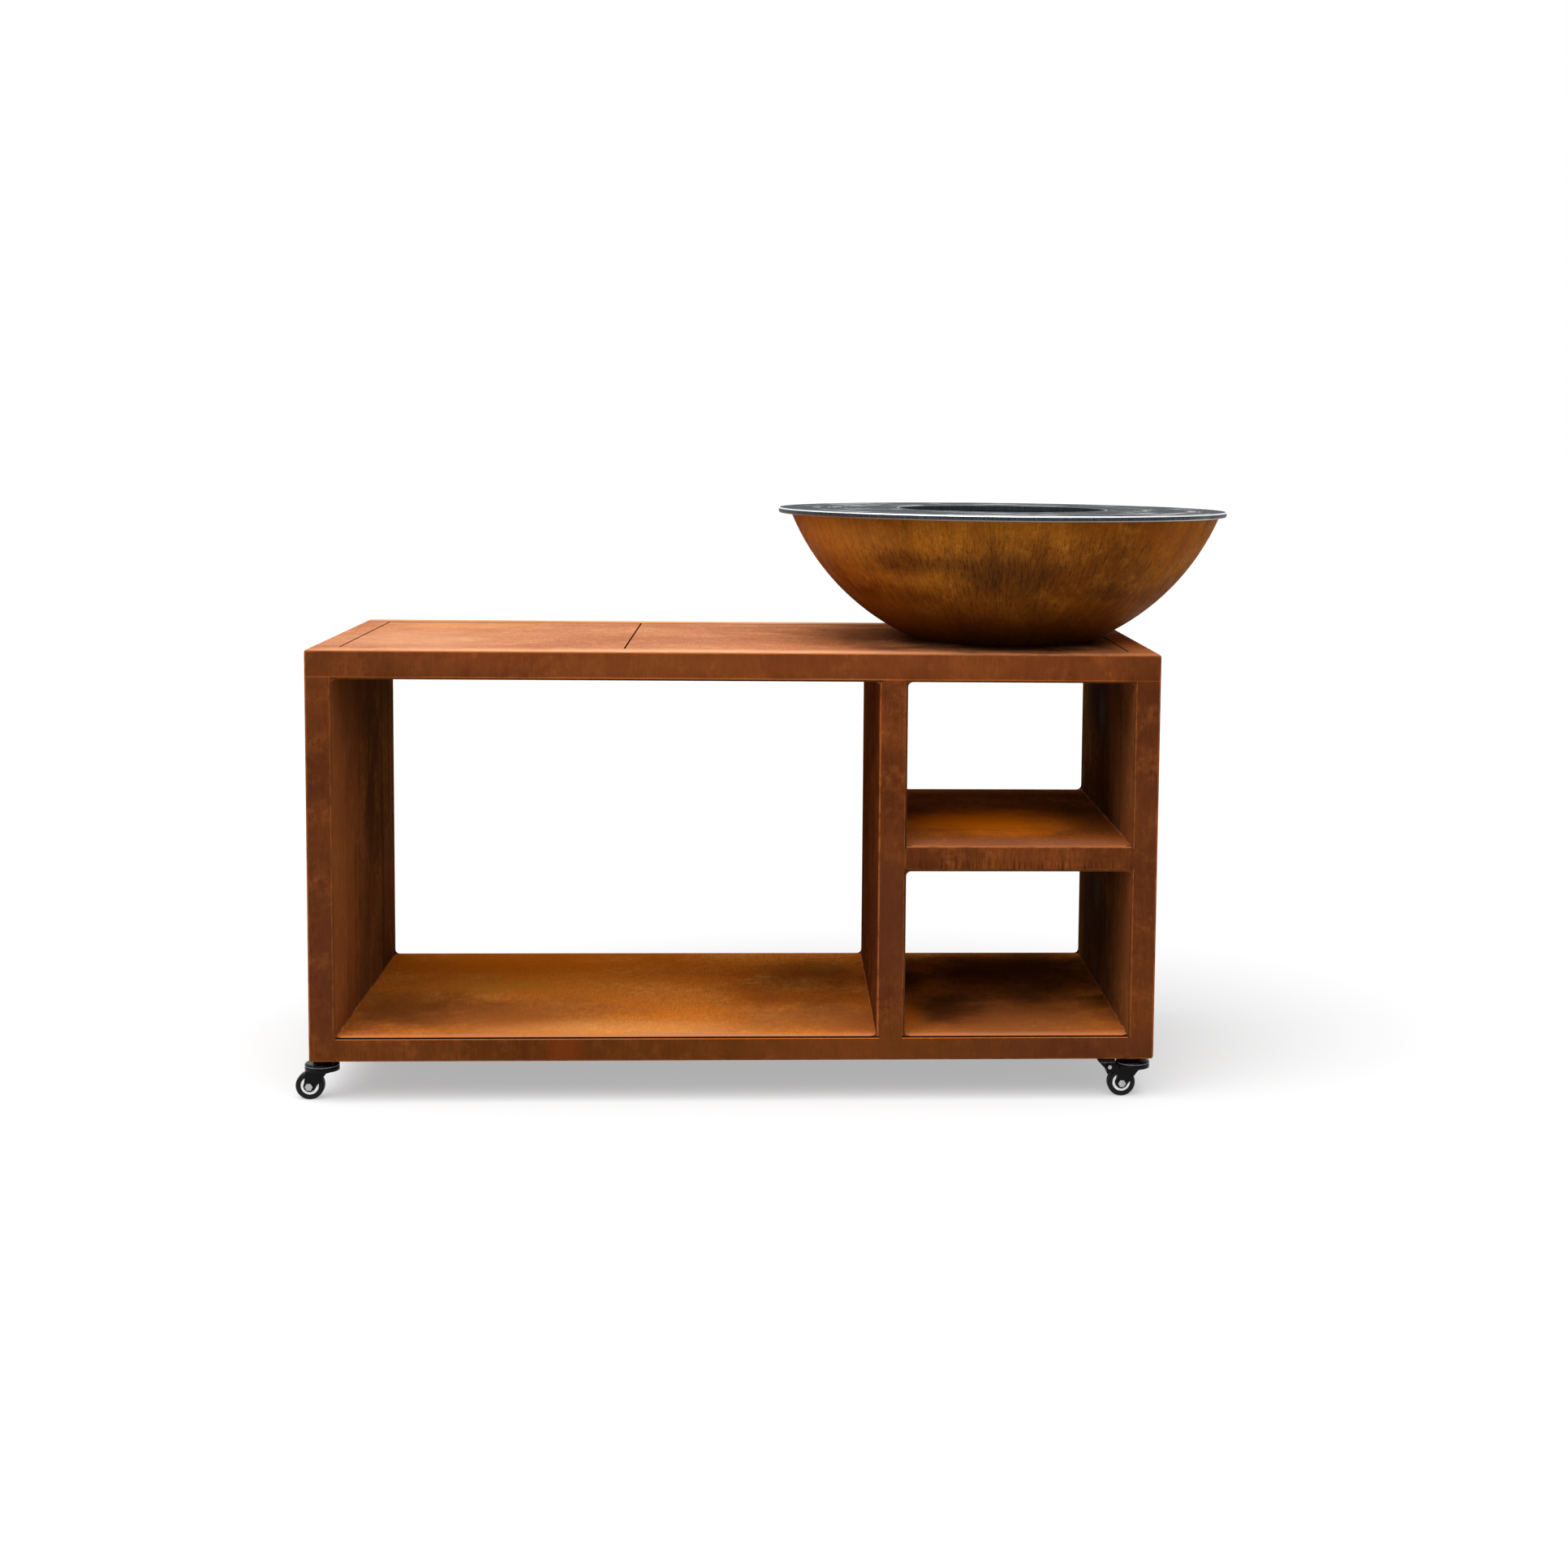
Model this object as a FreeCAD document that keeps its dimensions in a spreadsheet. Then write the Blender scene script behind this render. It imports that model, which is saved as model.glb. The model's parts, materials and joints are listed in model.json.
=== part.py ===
import FreeCAD, Part

# Brazier grill table: an open kitchen table of folded weathering steel on four swivel casters, with a
# loose worktop lid and a fire bowl that carries a ring griddle. Millimetres, +Z up, floor at Z = 0.
# The origin is on the floor, under the middle of the whole object's outline.
import math
import os
from collections import namedtuple
from types import SimpleNamespace

import Sketcher

DRIVING = {
    # carcass of the table
    "table_length": 1500,
    "table_depth": 700,
    "carcass_height": 730,
    "sheet": 3,
    "bend_radius": 5,
    "weld_bevel": 1.5,
    "weld_leg": 9,
    "liner_setback": 1,
    "side_wall": 47,
    "top_rail": 51,
    "base_rail": 44,
    "shelf_rail": 46,
    "lower_bay": 297.5,
    "right_bay": 402,
    "divider_wall": 50,
    # inset plates of the top and what carries them
    "border_side": 50,
    "border_front": 60,
    "lid_length": 500,
    "plate_seam": 2.5,
    "plate_edge": 0.8,
    "ledge_reach": 15,
    "ledge_lap": 20,
    "weld_gap": 0.8,
    "bearer_width": 40,
    "bearer_spread": 240,
    # fire bowl and ring griddle
    "bowl_inset": 249,
    "bowl_height": 235,
    "bowl_rim_radius": 404.5,
    "bowl_foot_radius": 172,
    "bowl_sheet": 3,
    "ring_radius": 423,
    "ring_plate": 10,
    "ring_edge": 2,
    "fire_hole_radius": 197,
    "ring_shift": 5,
    "ring_play": 14,
    "lug_height": 18,
    "lug_plate": 5,
    "lug_length": 40,
    # casters
    "caster_inset_left": 17,
    "caster_inset_right": 32,
    "caster_inset_front": 38,
    "caster_trail": 21,
    "wheel_radius": 25,
    "wheel_headroom": 3,
    "tyre_width": 19,
    "tyre_depth": 8,
    "tyre_shoulder": 2.5,
    "wheel_side_gap": 1.5,
    "hub_face_inset": 1.5,
    "hub_web": 9,
    "hub_ring_width": 5,
    "hub_boss_wall": 4,
    "hub_end_play": 0.4,
    "running_play": 0.05,
    "axle_radius": 4,
    "bush_wall": 1.95,
    "bolt_flats": 12,
    "bolt_head": 5.3,
    "nut_height": 6.5,
    "thread_end": 2,
    "fork_sheet": 2.5,
    "boss_radius": 10,
    "crown_radius": 30.5,
    "crown_depth": 7,
    "crown_plate": 3,
    "crown_edge": 2,
    "heel_reach": 9,
    "heel_drop": 5,
    "leg_inset": 1.2,
    "pip_radius": 2,
    "pip_rise": 0.6,
    "pip_ahead": 12,
    "pip_above": 10,
    "race_gap": 12.5,
    "race_play": 0.3,
    "race_inner": 14,
    "race_outer": 23,
    "cup_sheet": 2.5,
    "cup_radius": 30.5,
    "cup_neck": 16,
    "cup_brim_drop": 9,
    "cup_shoulder": 4,
    "cup_play": 0.6,
    "stem_radius": 6,
    "stem_length": 24,
    "collar_radius": 11,
    "collar_plate": 2.5,
    "rivet_radius": 10,
    "rivet_plate": 3,
    "stem_nut_flats": 19,
    "stem_nut_height": 10,
    # brake of the right-hand casters
    "pivot_gap": 11.5,
    "pivot_angle": 127,
    "ear_radius": 6,
    "pin_radius": 2.5,
    "pin_head_radius": 3.5,
    "pin_head": 1.5,
    "shoe_radius": 3.5,
    "shoe_gap": 2.4,
    "shoe_angle": 141,
    "pedal_reach": 22,
    "pedal_rise": 13,
    "pedal_plate": 1.5,
    "pedal_side_play": 0.6,
    "pedal_crown_gap": 2.5,
}
LUG_COUNT = 4
HEX_SIDES = 6
FULL_TURN = 360


class Size:
    """A size with its number, for first guesses, and the sheet formula that drives it."""

    def __init__(self, number, formula):
        self.number = number
        self.formula = formula

    def __add__(self, other):
        other = as_size(other)
        return Size(self.number + other.number, f"({self.formula} + {other.formula})")

    def __sub__(self, other):
        other = as_size(other)
        return Size(self.number - other.number, f"({self.formula} - {other.formula})")

    def __mul__(self, other):
        other = as_size(other)
        return Size(self.number * other.number, f"({self.formula} * {other.formula})")

    def __truediv__(self, other):
        other = as_size(other)
        return Size(self.number / other.number, f"({self.formula} / {other.formula})")

    def __rsub__(self, other):
        return as_size(other) - self

    def __neg__(self):
        return self * -1

    __radd__ = __add__
    __rmul__ = __mul__


def as_size(value):
    return value if isinstance(value, Size) else Size(float(value), f"({float(value)})")


def root(size):
    return Size(math.sqrt(size.number), f"sqrt({size.formula})")


def cosine(angle):
    return Size(math.cos(math.radians(angle.number)), f"cos({angle.formula} * 1 deg)")


def sine(angle):
    return Size(math.sin(math.radians(angle.number)), f"sin({angle.formula} * 1 deg)")


doc = FreeCAD.newDocument("grill_table")
sheet = doc.addObject("Spreadsheet::Sheet", "sizes")
for row, (alias, value) in enumerate(DRIVING.items(), start=1):
    sheet.set(f"A{row}", alias)
    sheet.set(f"B{row}", str(value))
    sheet.setAlias(f"B{row}", alias)
doc.recompute()
dim = SimpleNamespace(**{alias: Size(value, f"sizes.{alias}") for alias, value in DRIVING.items()})
ZERO = as_size(0)

# Heights above the floor and places along the table, all counted from the table's middle.
half_length = dim.table_length / 2
half_depth = dim.table_depth / 2
crown_foot = 2 * dim.wheel_radius + dim.wheel_headroom
crown_top = crown_foot + dim.crown_depth
cup_foot = crown_top + dim.race_gap
underside = cup_foot + dim.cup_sheet
worktop = underside + dim.carcass_height
top_apron = dim.top_rail - dim.sheet
base_apron = dim.base_rail - dim.sheet
shelf_apron = dim.shelf_rail - dim.sheet
apron_foot = worktop - top_apron
soffit_foot = worktop - dim.top_rail
deck_top = underside + dim.base_rail
shelf_foot = deck_top + dim.lower_bay
shelf_top = shelf_foot + dim.shelf_rail
inner_half = half_length - dim.side_wall
divider_right = inner_half - dim.right_bay
divider_left = divider_right - dim.divider_wall
sheet_depth = dim.table_depth - 2 * dim.liner_setback
caster_x = {-1: dim.caster_inset_left - half_length, 1: half_length - dim.caster_inset_right}
caster_y = half_depth - dim.caster_inset_front
bowl_x = half_length - dim.bowl_inset
ring_x = bowl_x - dim.ring_shift
left_reach = dim.caster_trail + dim.wheel_radius - caster_x[-1]
table_x = (left_reach - ring_x - dim.ring_radius) / 2

sub_parts = []


def bind(thing, path, size):
    """Drive one property of an object by a sheet formula."""
    thing.setExpression(path, as_size(size).formula)


def place(thing, x=ZERO, y=ZERO, z=ZERO):
    """Stand a sub-part at a place counted from the table's middle on the floor."""
    bind(thing, "Placement.Base.x", x + table_x)
    bind(thing, "Placement.Base.y", y)
    bind(thing, "Placement.Base.z", z)


def new_body(label):
    body = doc.addObject("PartDesign::Body", label)
    body.Label = label
    sub_parts.append(body)
    return body


def origin_feature(body, role):
    return next(feature for feature in body.Origin.OriginFeatures if feature.Role == role)


def new_sketch(body, role, offset=None):
    """A sketch on one of the body's own planes, moved along the plane's normal by offset."""
    sketch = body.newObject("Sketcher::SketchObject", body.Label + "_sketch")
    sketch.AttachmentSupport = [(origin_feature(body, role), "")]
    sketch.MapMode = "FlatFace"
    if offset is not None:
        bind(sketch, "AttachmentOffset.Base.z", offset)
    return sketch


# A corner of an outline. Where arc is given, an arc of that radius leads to the next corner, to the
# left of the way there with turn 1 and to the right with turn -1.
Corner = namedtuple("Corner", "x y arc turn", defaults=(None, 0))


def first_guess(start, end):
    """Geometry from one corner to the next, near enough for the sketch to settle on its sizes."""
    a = FreeCAD.Vector(start.x.number, start.y.number, 0)
    b = FreeCAD.Vector(end.x.number, end.y.number, 0)
    if start.arc is None:
        return Part.LineSegment(a, b)
    chord = b - a
    rise = math.sqrt(max(start.arc.number ** 2 - chord.Length ** 2 / 4, 0))
    left = FreeCAD.Vector(-chord.y, chord.x, 0).normalize()
    centre = (a + b) / 2 + left * rise * start.turn
    first, last = (a, b) if start.turn > 0 else (b, a)
    circle = Part.Circle(centre, FreeCAD.Vector(0, 0, 1), start.arc.number)
    return Part.ArcOfCircle(circle, circle.parameter(first), circle.parameter(last))


def draw(sketch, corners):
    """Close an outline through corners and drive every corner and arc by its sizes."""
    corners = [Corner(as_size(c[0]), as_size(c[1]), *c[2:]) for c in corners]
    count = len(corners)
    first = sketch.GeometryCount
    ends = [(2, 1) if corner.turn < 0 else (1, 2) for corner in corners]
    sketch.addGeometry([first_guess(corners[i], corners[(i + 1) % count]) for i in range(count)], False)
    constraints = []
    sizes = []
    for i, corner in enumerate(corners):
        after = (i + 1) % count
        meeting = (first + i, ends[i][1], first + after, ends[after][0])
        constraints.append(Sketcher.Constraint("Coincident", *meeting))
        sizes.append(None)
        for kind, size in (("DistanceX", corner.x), ("DistanceY", corner.y)):
            constraints.append(Sketcher.Constraint(kind, -1, 1, first + i, ends[i][0], size.number))
            sizes.append(size)
        if corner.arc is not None:
            constraints.append(Sketcher.Constraint("Radius", first + i, corner.arc.number))
            sizes.append(corner.arc)
    drive(sketch, constraints, sizes)


def draw_circle(sketch, x, y, radius):
    x, y, radius = as_size(x), as_size(y), as_size(radius)
    index = sketch.GeometryCount
    centre = FreeCAD.Vector(x.number, y.number, 0)
    sketch.addGeometry([Part.Circle(centre, FreeCAD.Vector(0, 0, 1), radius.number)], False)
    constraints = [
        Sketcher.Constraint("DistanceX", -1, 1, index, 3, x.number),
        Sketcher.Constraint("DistanceY", -1, 1, index, 3, y.number),
        Sketcher.Constraint("Radius", index, radius.number),
    ]
    drive(sketch, constraints, [x, y, radius])


def drive(sketch, constraints, sizes):
    """Add constraints to a sketch and bind each one that has a size to its formula."""
    first = sketch.ConstraintCount
    sketch.addConstraint(constraints)
    for i, size in enumerate(sizes):
        if size is not None:
            sketch.setExpression(f"Constraints[{first + i}]", size.formula)


def rounded(corners):
    """Replace each (x, y, radius) of a square-cornered outline by the arc of that radius."""
    result = []
    for i, corner in enumerate(corners):
        if isinstance(corner, Corner) or len(corner) == 2:
            result.append(corner)
            continue
        x, y, radius = corner
        before = unit_step(corner, corners[i - 1])
        after = unit_step(corner, corners[(i + 1) % len(corners)])
        turn = 1 if before[1] * after[0] - before[0] * after[1] > 0 else -1
        result.append(Corner(x + radius * before[0], y + radius * before[1], radius, turn))
        result.append((x + radius * after[0], y + radius * after[1]))
    return result


def unit_step(start, end):
    """Direction of a run along X or Y."""
    run_x = end[0].number - start[0].number
    run_y = end[1].number - start[1].number
    if abs(run_x) > abs(run_y):
        return int(math.copysign(1, run_x)), 0
    return 0, int(math.copysign(1, run_y))


def rectangle(x0, y0, x1, y1):
    return [(x0, y0), (x1, y0), (x1, y1), (x0, y1)]


def hexagon(flats):
    """Corners of a hexagon, given its width across flats."""
    reach = flats / (2 * math.cos(math.pi / HEX_SIDES))
    angles = [math.radians(side * FULL_TURN / HEX_SIDES) for side in range(HEX_SIDES)]
    return [(reach * math.cos(angle), reach * math.sin(angle)) for angle in angles]


def pad(body, sketch, length, symmetric=False, reverse=False):
    feature = body.newObject("PartDesign::Pad", body.Label + "_pad")
    feature.Profile = sketch
    feature.SideType = "Symmetric" if symmetric else "One side"
    feature.Reversed = reverse
    bind(feature, "Length", length)
    return feature


def pocket(body, sketch, length, symmetric=False, reverse=False):
    """Cut a sketch out of the body, and stop where the cut takes nothing away."""
    doc.recompute()
    before = body.Shape.Volume
    feature = body.newObject("PartDesign::Pocket", body.Label + "_pocket")
    feature.Profile = sketch
    feature.SideType = "Symmetric" if symmetric else "One side"
    feature.Reversed = reverse
    bind(feature, "Length", length)
    doc.recompute()
    if body.Shape.Volume >= before:
        raise RuntimeError(f"a pocket of {body.Label} cuts nothing")
    return feature


def revolve(body, sketch):
    """Turn a sketch once round its own vertical axis."""
    feature = body.newObject("PartDesign::Revolution", body.Label + "_turned")
    feature.Profile = sketch
    feature.ReferenceAxis = (sketch, ["V_Axis"])
    feature.Angle = FULL_TURN
    return feature


def round_edges(body, base, radius, chosen):
    """Fillet the edges of a feature that the given test picks out."""
    doc.recompute()
    names = [f"Edge{i}" for i, edge in enumerate(base.Shape.Edges, start=1) if chosen(edge)]
    feature = body.newObject("PartDesign::Fillet", body.Label + "_rounding")
    feature.Base = (base, names)
    bind(feature, "Radius", radius)
    return feature


def polar(body, original, count):
    """Repeat a feature round the body's vertical axis."""
    feature = body.newObject("PartDesign::PolarPattern", body.Label + "_pattern")
    feature.Originals = [original]
    feature.Axis = (origin_feature(body, "Z_Axis"), [""])
    feature.Angle = FULL_TURN
    feature.Occurrences = count
    body.Tip = feature
    return feature


def mirror_to_back(body, originals):
    """Repeat features of the front on the back."""
    feature = body.newObject("PartDesign::Mirrored", body.Label + "_mirrored")
    feature.Originals = originals
    feature.MirrorPlane = (origin_feature(body, "XZ_Plane"), [""])
    body.Tip = feature


def flat_sheet(label, length, depth, height, x, y, z):
    """A flat rectangle of sheet with its lowest corner at x, y, z."""
    box = doc.addObject("Part::Box", label)
    box.Label = label
    bind(box, "Length", length)
    bind(box, "Width", depth)
    bind(box, "Height", height)
    place(box, x, y, z)
    sub_parts.append(box)


def channel(flange):
    """Section of a sheet folded into a channel as wide as the table is deep.

    Pairs of distance from the web's outer face and place across the web. The flanges' edges are
    bevelled for the weld that joins them to the closing sheet.
    """
    inner_bend = dim.bend_radius - dim.sheet
    return [
        (ZERO, -half_depth, dim.bend_radius),
        (flange - dim.weld_bevel, -half_depth),
        (flange, -half_depth + dim.weld_bevel),
        (flange, -half_depth + dim.sheet),
        (dim.sheet, -half_depth + dim.sheet, inner_bend),
        (dim.sheet, half_depth - dim.sheet, inner_bend),
        (flange, half_depth - dim.sheet),
        (flange, half_depth - dim.weld_bevel),
        (flange - dim.weld_bevel, half_depth),
        (ZERO, half_depth, dim.bend_radius),
    ]


def make_side(label, side):
    """End wall: a folded shell with a closed foot that the caster stems pass through, and its liner."""
    flange = dim.side_wall - dim.sheet
    body = new_body(label + "_shell")
    section = new_sketch(body, "XY_Plane")
    draw(section, rounded([(side * (half_length - c[0]), *c[1:]) for c in channel(flange)]))
    pad(body, section, dim.carcass_height - top_apron)
    flap = new_sketch(body, "XY_Plane")
    flap_edge = half_depth - dim.sheet
    flap_from = side * (half_length - dim.sheet)
    flap_to = side * (half_length - flange)
    draw(flap, rectangle(flap_from, -flap_edge, flap_to, flap_edge))
    foot = pad(body, flap, dim.sheet)
    inner_edge = (half_length - flange + dim.weld_bevel).number
    middle_height = dim.sheet.number / 2

    def outer_foot(edge):
        return edge.BoundBox.ZMax < middle_height and abs(edge.CenterOfMass.x) > inner_edge

    body.Tip = round_edges(body, foot, dim.bend_radius, outer_foot)
    holes = new_sketch(body, "XY_Plane")
    for end in (-1, 1):
        draw_circle(holes, caster_x[side], end * caster_y, dim.stem_radius + dim.running_play)
    pocket(body, holes, dim.sheet, reverse=True)
    place(body, z=underside)

    liner_x = inner_half if side > 0 else -inner_half - dim.sheet
    liner_height = dim.carcass_height - top_apron
    flat_sheet(label + "_liner", dim.sheet, sheet_depth, liner_height, liner_x, -sheet_depth / 2, underside)


def make_base():
    """Base: a folded channel open upwards between the end walls, closed by the deck."""
    body = new_body("base_shell")
    section = new_sketch(body, "YZ_Plane")
    draw(section, rounded([(c[1], c[0], *c[2:]) for c in channel(base_apron)]))
    pad(body, section, 2 * inner_half, symmetric=True)
    place(body, z=underside)
    deck_foot = deck_top - dim.sheet
    front = -sheet_depth / 2
    flat_sheet("base_deck", 2 * inner_half, sheet_depth, dim.sheet, -inner_half, front, deck_foot)


def make_divider():
    """Divider between the wide bay and the two small ones, standing on the deck."""
    body = new_body("divider_shell")
    section = new_sketch(body, "XY_Plane")
    flange = dim.divider_wall - dim.sheet
    height = soffit_foot - deck_top
    draw(section, rounded([(divider_left + c[0], *c[1:]) for c in channel(flange)]))
    pad(body, section, height)
    place(body, z=deck_top)
    liner_x = divider_right - dim.sheet
    flat_sheet("divider_liner", dim.sheet, sheet_depth, height, liner_x, -sheet_depth / 2, deck_top)


def make_shelf():
    """Shelf of the right-hand bay: a channel open downwards with its own soffit."""
    body = new_body("shelf_shell")
    section = new_sketch(body, "YZ_Plane")
    draw(section, rounded([(c[1], -c[0], *c[2:]) for c in channel(shelf_apron)]))
    pad(body, section, dim.right_bay, symmetric=True)
    place(body, x=(divider_right + inner_half) / 2, z=shelf_top)
    front = -sheet_depth / 2
    flat_sheet("shelf_soffit", dim.right_bay, sheet_depth, dim.sheet, divider_right, front, shelf_foot)


plate_half_x = half_length - dim.border_side
plate_half_y = half_depth - dim.border_front


def make_top():
    """Top: an upturned tray whose border frames the inset plates, closed below by the soffit."""
    body = new_body("top_tray")
    outline = new_sketch(body, "XY_Plane")
    draw(outline, rectangle(-half_length, -half_depth, half_length, half_depth))
    block = pad(body, outline, top_apron)
    inner_x = half_length - dim.sheet
    inner_y = half_depth - dim.sheet

    middle_height = top_apron.number / 2
    folded = round_edges(body, block, dim.bend_radius, lambda edge: edge.BoundBox.ZMax > middle_height)
    body.Tip = folded
    hollow = new_sketch(body, "XY_Plane")
    draw(hollow, rectangle(-inner_x, -inner_y, inner_x, inner_y))
    pocket(body, hollow, top_apron - dim.sheet, reverse=True)
    opening = new_sketch(body, "XY_Plane")
    draw(opening, rectangle(-plate_half_x, -plate_half_y, plate_half_x, plate_half_y))
    pocket(body, opening, top_apron, reverse=True)
    place(body, z=apron_foot)
    front = -sheet_depth / 2
    flat_sheet("top_soffit", 2 * inner_half, sheet_depth, dim.sheet, -inner_half, front, soffit_foot)


def make_inset_plate(label, x_from, x_to):
    """One of the loose plates that lie flush in the border, with eased upper edges."""
    body = new_body(label)
    outline = new_sketch(body, "XY_Plane")
    edge_y = plate_half_y - dim.plate_seam
    draw(outline, rectangle(x_from, -edge_y, x_to, edge_y))
    plate = pad(body, outline, dim.sheet)
    middle_height = dim.sheet.number / 2
    eased = round_edges(body, plate, dim.plate_edge, lambda edge: edge.BoundBox.ZMin > middle_height)
    body.Tip = eased
    place(body, z=worktop - dim.sheet)


lid_right = dim.lid_length - plate_half_x


def make_inset_plates():
    make_inset_plate("worktop_lid", -plate_half_x + dim.plate_seam, lid_right - dim.plate_seam / 2)
    make_inset_plate("bowl_plate", lid_right + dim.plate_seam / 2, plate_half_x - dim.plate_seam)


def make_plate_supports():
    """Bars welded under the border all round the plates, and channels across under the plates."""
    ledges = new_body("plate_ledges")
    bars = new_sketch(ledges, "XY_Plane")
    outer_x = plate_half_x + dim.ledge_lap
    outer_y = plate_half_y + dim.ledge_lap
    inner_x = plate_half_x - dim.ledge_reach
    inner_y = plate_half_y - dim.ledge_reach
    side_end = inner_y - dim.weld_gap
    for side in (-1, 1):
        draw(bars, rectangle(-outer_x, side * inner_y, outer_x, side * outer_y))
        draw(bars, rectangle(side * inner_x, -side_end, side * outer_x, side_end))
    pad(ledges, bars, dim.sheet)
    place(ledges, z=worktop - 2 * dim.sheet)

    bearers = new_body("cross_bearers")
    sections = new_sketch(bearers, "XZ_Plane")
    height = dim.top_rail - 2 * dim.sheet
    inner_bend = dim.bend_radius - dim.sheet
    half_width = dim.bearer_width / 2
    for middle in (lid_right, bowl_x - dim.bearer_spread / 2, bowl_x + dim.bearer_spread / 2):
        left, right = middle - half_width, middle + half_width
        draw(sections, rounded([
            (left, ZERO),
            (left + dim.sheet, ZERO),
            (left + dim.sheet, height - dim.sheet, inner_bend),
            (right - dim.sheet, height - dim.sheet, inner_bend),
            (right - dim.sheet, ZERO),
            (right, ZERO),
            (right, height, dim.bend_radius),
            (left, height, dim.bend_radius),
        ]))
    pad(bearers, sections, 2 * (inner_y - dim.weld_gap), symmetric=True)
    place(bearers, z=soffit_foot + dim.sheet)


def make_corner_welds():
    """Weld fillets in the corners of the open bays, on the front and on the back."""
    bays = [
        (-inner_half, divider_left, deck_top, soffit_foot),
        (divider_right, inner_half, deck_top, shelf_foot),
        (divider_right, inner_half, shelf_top, soffit_foot),
    ]
    body = new_body("corner_welds")
    fillets = new_sketch(body, "XZ_Plane", half_depth - dim.liner_setback - dim.sheet)
    for left, right, foot, head in bays:
        for x, step_x in ((left, 1), (right, -1)):
            for z, step_z in ((foot, 1), (head, -1)):
                draw(fillets, [
                    (x, z),
                    Corner(x + step_x * dim.weld_leg, z, dim.weld_leg, -step_x * step_z),
                    (x, z + step_z * dim.weld_leg),
                ])
    mirror_to_back(body, [pad(body, fillets, dim.sheet)])
    place(body)


def make_joint_welds():
    """Welds ground flush on the front and the back, where rails, shelf and divider butt against a wall."""
    front = -half_depth
    seam_root = front + dim.liner_setback

    def seam(edge, way):
        """Section of a weld from a flange's bevelled edge over the closing sheet's edge beside it."""
        return [
            (edge - way * dim.weld_bevel, front),
            (edge, front + dim.weld_bevel),
            (edge, seam_root),
            (edge + way * dim.sheet, seam_root),
            (edge + way * dim.sheet, front),
        ]

    left_post = seam(-inner_half - dim.sheet, 1)
    right_post = seam(inner_half + dim.sheet, -1)
    shelf_end = seam(divider_right - dim.sheet, 1)
    eased = dim.bend_radius + dim.weld_bevel
    body = new_body("joint_welds")
    base_seams = new_sketch(body, "XY_Plane", underside + dim.bend_radius)
    draw(base_seams, left_post)
    draw(base_seams, right_post)
    shelf_seams = new_sketch(body, "XY_Plane", shelf_top - shelf_apron + dim.weld_bevel)
    draw(shelf_seams, shelf_end)
    draw(shelf_seams, right_post)
    divider_seams = new_sketch(body, "YZ_Plane", divider_left + dim.bend_radius)
    draw(divider_seams, [(depth, height) for height, depth in seam(underside + base_apron, 1)])
    draw(divider_seams, rectangle(front, soffit_foot, seam_root, apron_foot))
    mirror_to_back(body, [
        pad(body, base_seams, base_apron - eased),
        pad(body, shelf_seams, shelf_apron - eased),
        pad(body, divider_seams, dim.divider_wall - dim.sheet - eased),
    ])
    place(body)


def make_bowl():
    """Fire bowl: a spherical dish with a flat foot."""
    rim, foot, height, wall = dim.bowl_rim_radius, dim.bowl_foot_radius, dim.bowl_height, dim.bowl_sheet
    centre = (rim * rim + height * height - foot * foot) / (2 * height)
    outer = root(foot * foot + centre * centre)
    inner = outer - wall
    body = new_body("fire_bowl")
    section = new_sketch(body, "XZ_Plane")
    draw(section, [
        (ZERO, ZERO),
        Corner(foot, ZERO, outer, 1),
        (rim, height),
        Corner(root(inner * inner - (centre - height) * (centre - height)), height, inner, -1),
        (root(inner * inner - (centre - wall) * (centre - wall)), wall),
        (ZERO, wall),
    ])
    revolve(body, section)
    place(body, x=bowl_x, z=worktop)

    lug_depth = centre - height + dim.lug_height
    return root(inner * inner - lug_depth * lug_depth) - dim.ring_play


def make_griddle(lug_reach):
    """Ring griddle lying loose on the bowl's rim, with lugs under it that keep it in place."""
    ring_foot = worktop + dim.bowl_height
    body = new_body("griddle_ring")
    section = new_sketch(body, "XZ_Plane")
    draw(section, [
        (dim.fire_hole_radius, ZERO),
        (dim.ring_radius - dim.ring_edge, ZERO),
        (dim.ring_radius, dim.ring_edge),
        (dim.ring_radius, dim.ring_plate - dim.ring_edge),
        (dim.ring_radius - dim.ring_edge, dim.ring_plate),
        (dim.fire_hole_radius, dim.ring_plate),
    ])
    revolve(body, section)
    place(body, x=ring_x, z=ring_foot)

    lugs = new_body("griddle_lugs")
    outline = new_sketch(lugs, "XY_Plane")
    half = dim.lug_length / 2
    outer = root(lug_reach * lug_reach - half * half)
    draw(outline, rectangle(outer - dim.lug_plate, -half, outer, half))
    first = pad(lugs, outline, dim.lug_height, reverse=True)
    polar(lugs, first, LUG_COUNT)
    place(lugs, x=ring_x, z=ring_foot)


# Sizes shared by the pieces of one caster. The wheel trails towards -X, the swivel axis is at X = 0.
leg_inner = dim.tyre_width / 2 + dim.wheel_side_gap
leg_outer = leg_inner + dim.fork_sheet
axle_hole = dim.axle_radius + dim.running_play
bush_radius = axle_hole + dim.bush_wall
hub_bore = bush_radius + dim.running_play
hub_radius = dim.wheel_radius - dim.tyre_depth
axle_x = -dim.caster_trail
axle_z = dim.wheel_radius
brim_top = underside - dim.cup_brim_drop
brim_foot = brim_top - dim.cup_sheet
pivot_reach = dim.wheel_radius + dim.pivot_gap
pivot_x = axle_x + pivot_reach * cosine(dim.pivot_angle)
pivot_z = axle_z + pivot_reach * sine(dim.pivot_angle)
shoe_reach = dim.wheel_radius + dim.shoe_gap + dim.shoe_radius
shoe_x = axle_x + shoe_reach * cosine(dim.shoe_angle)
shoe_z = axle_z + shoe_reach * sine(dim.shoe_angle)


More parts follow.
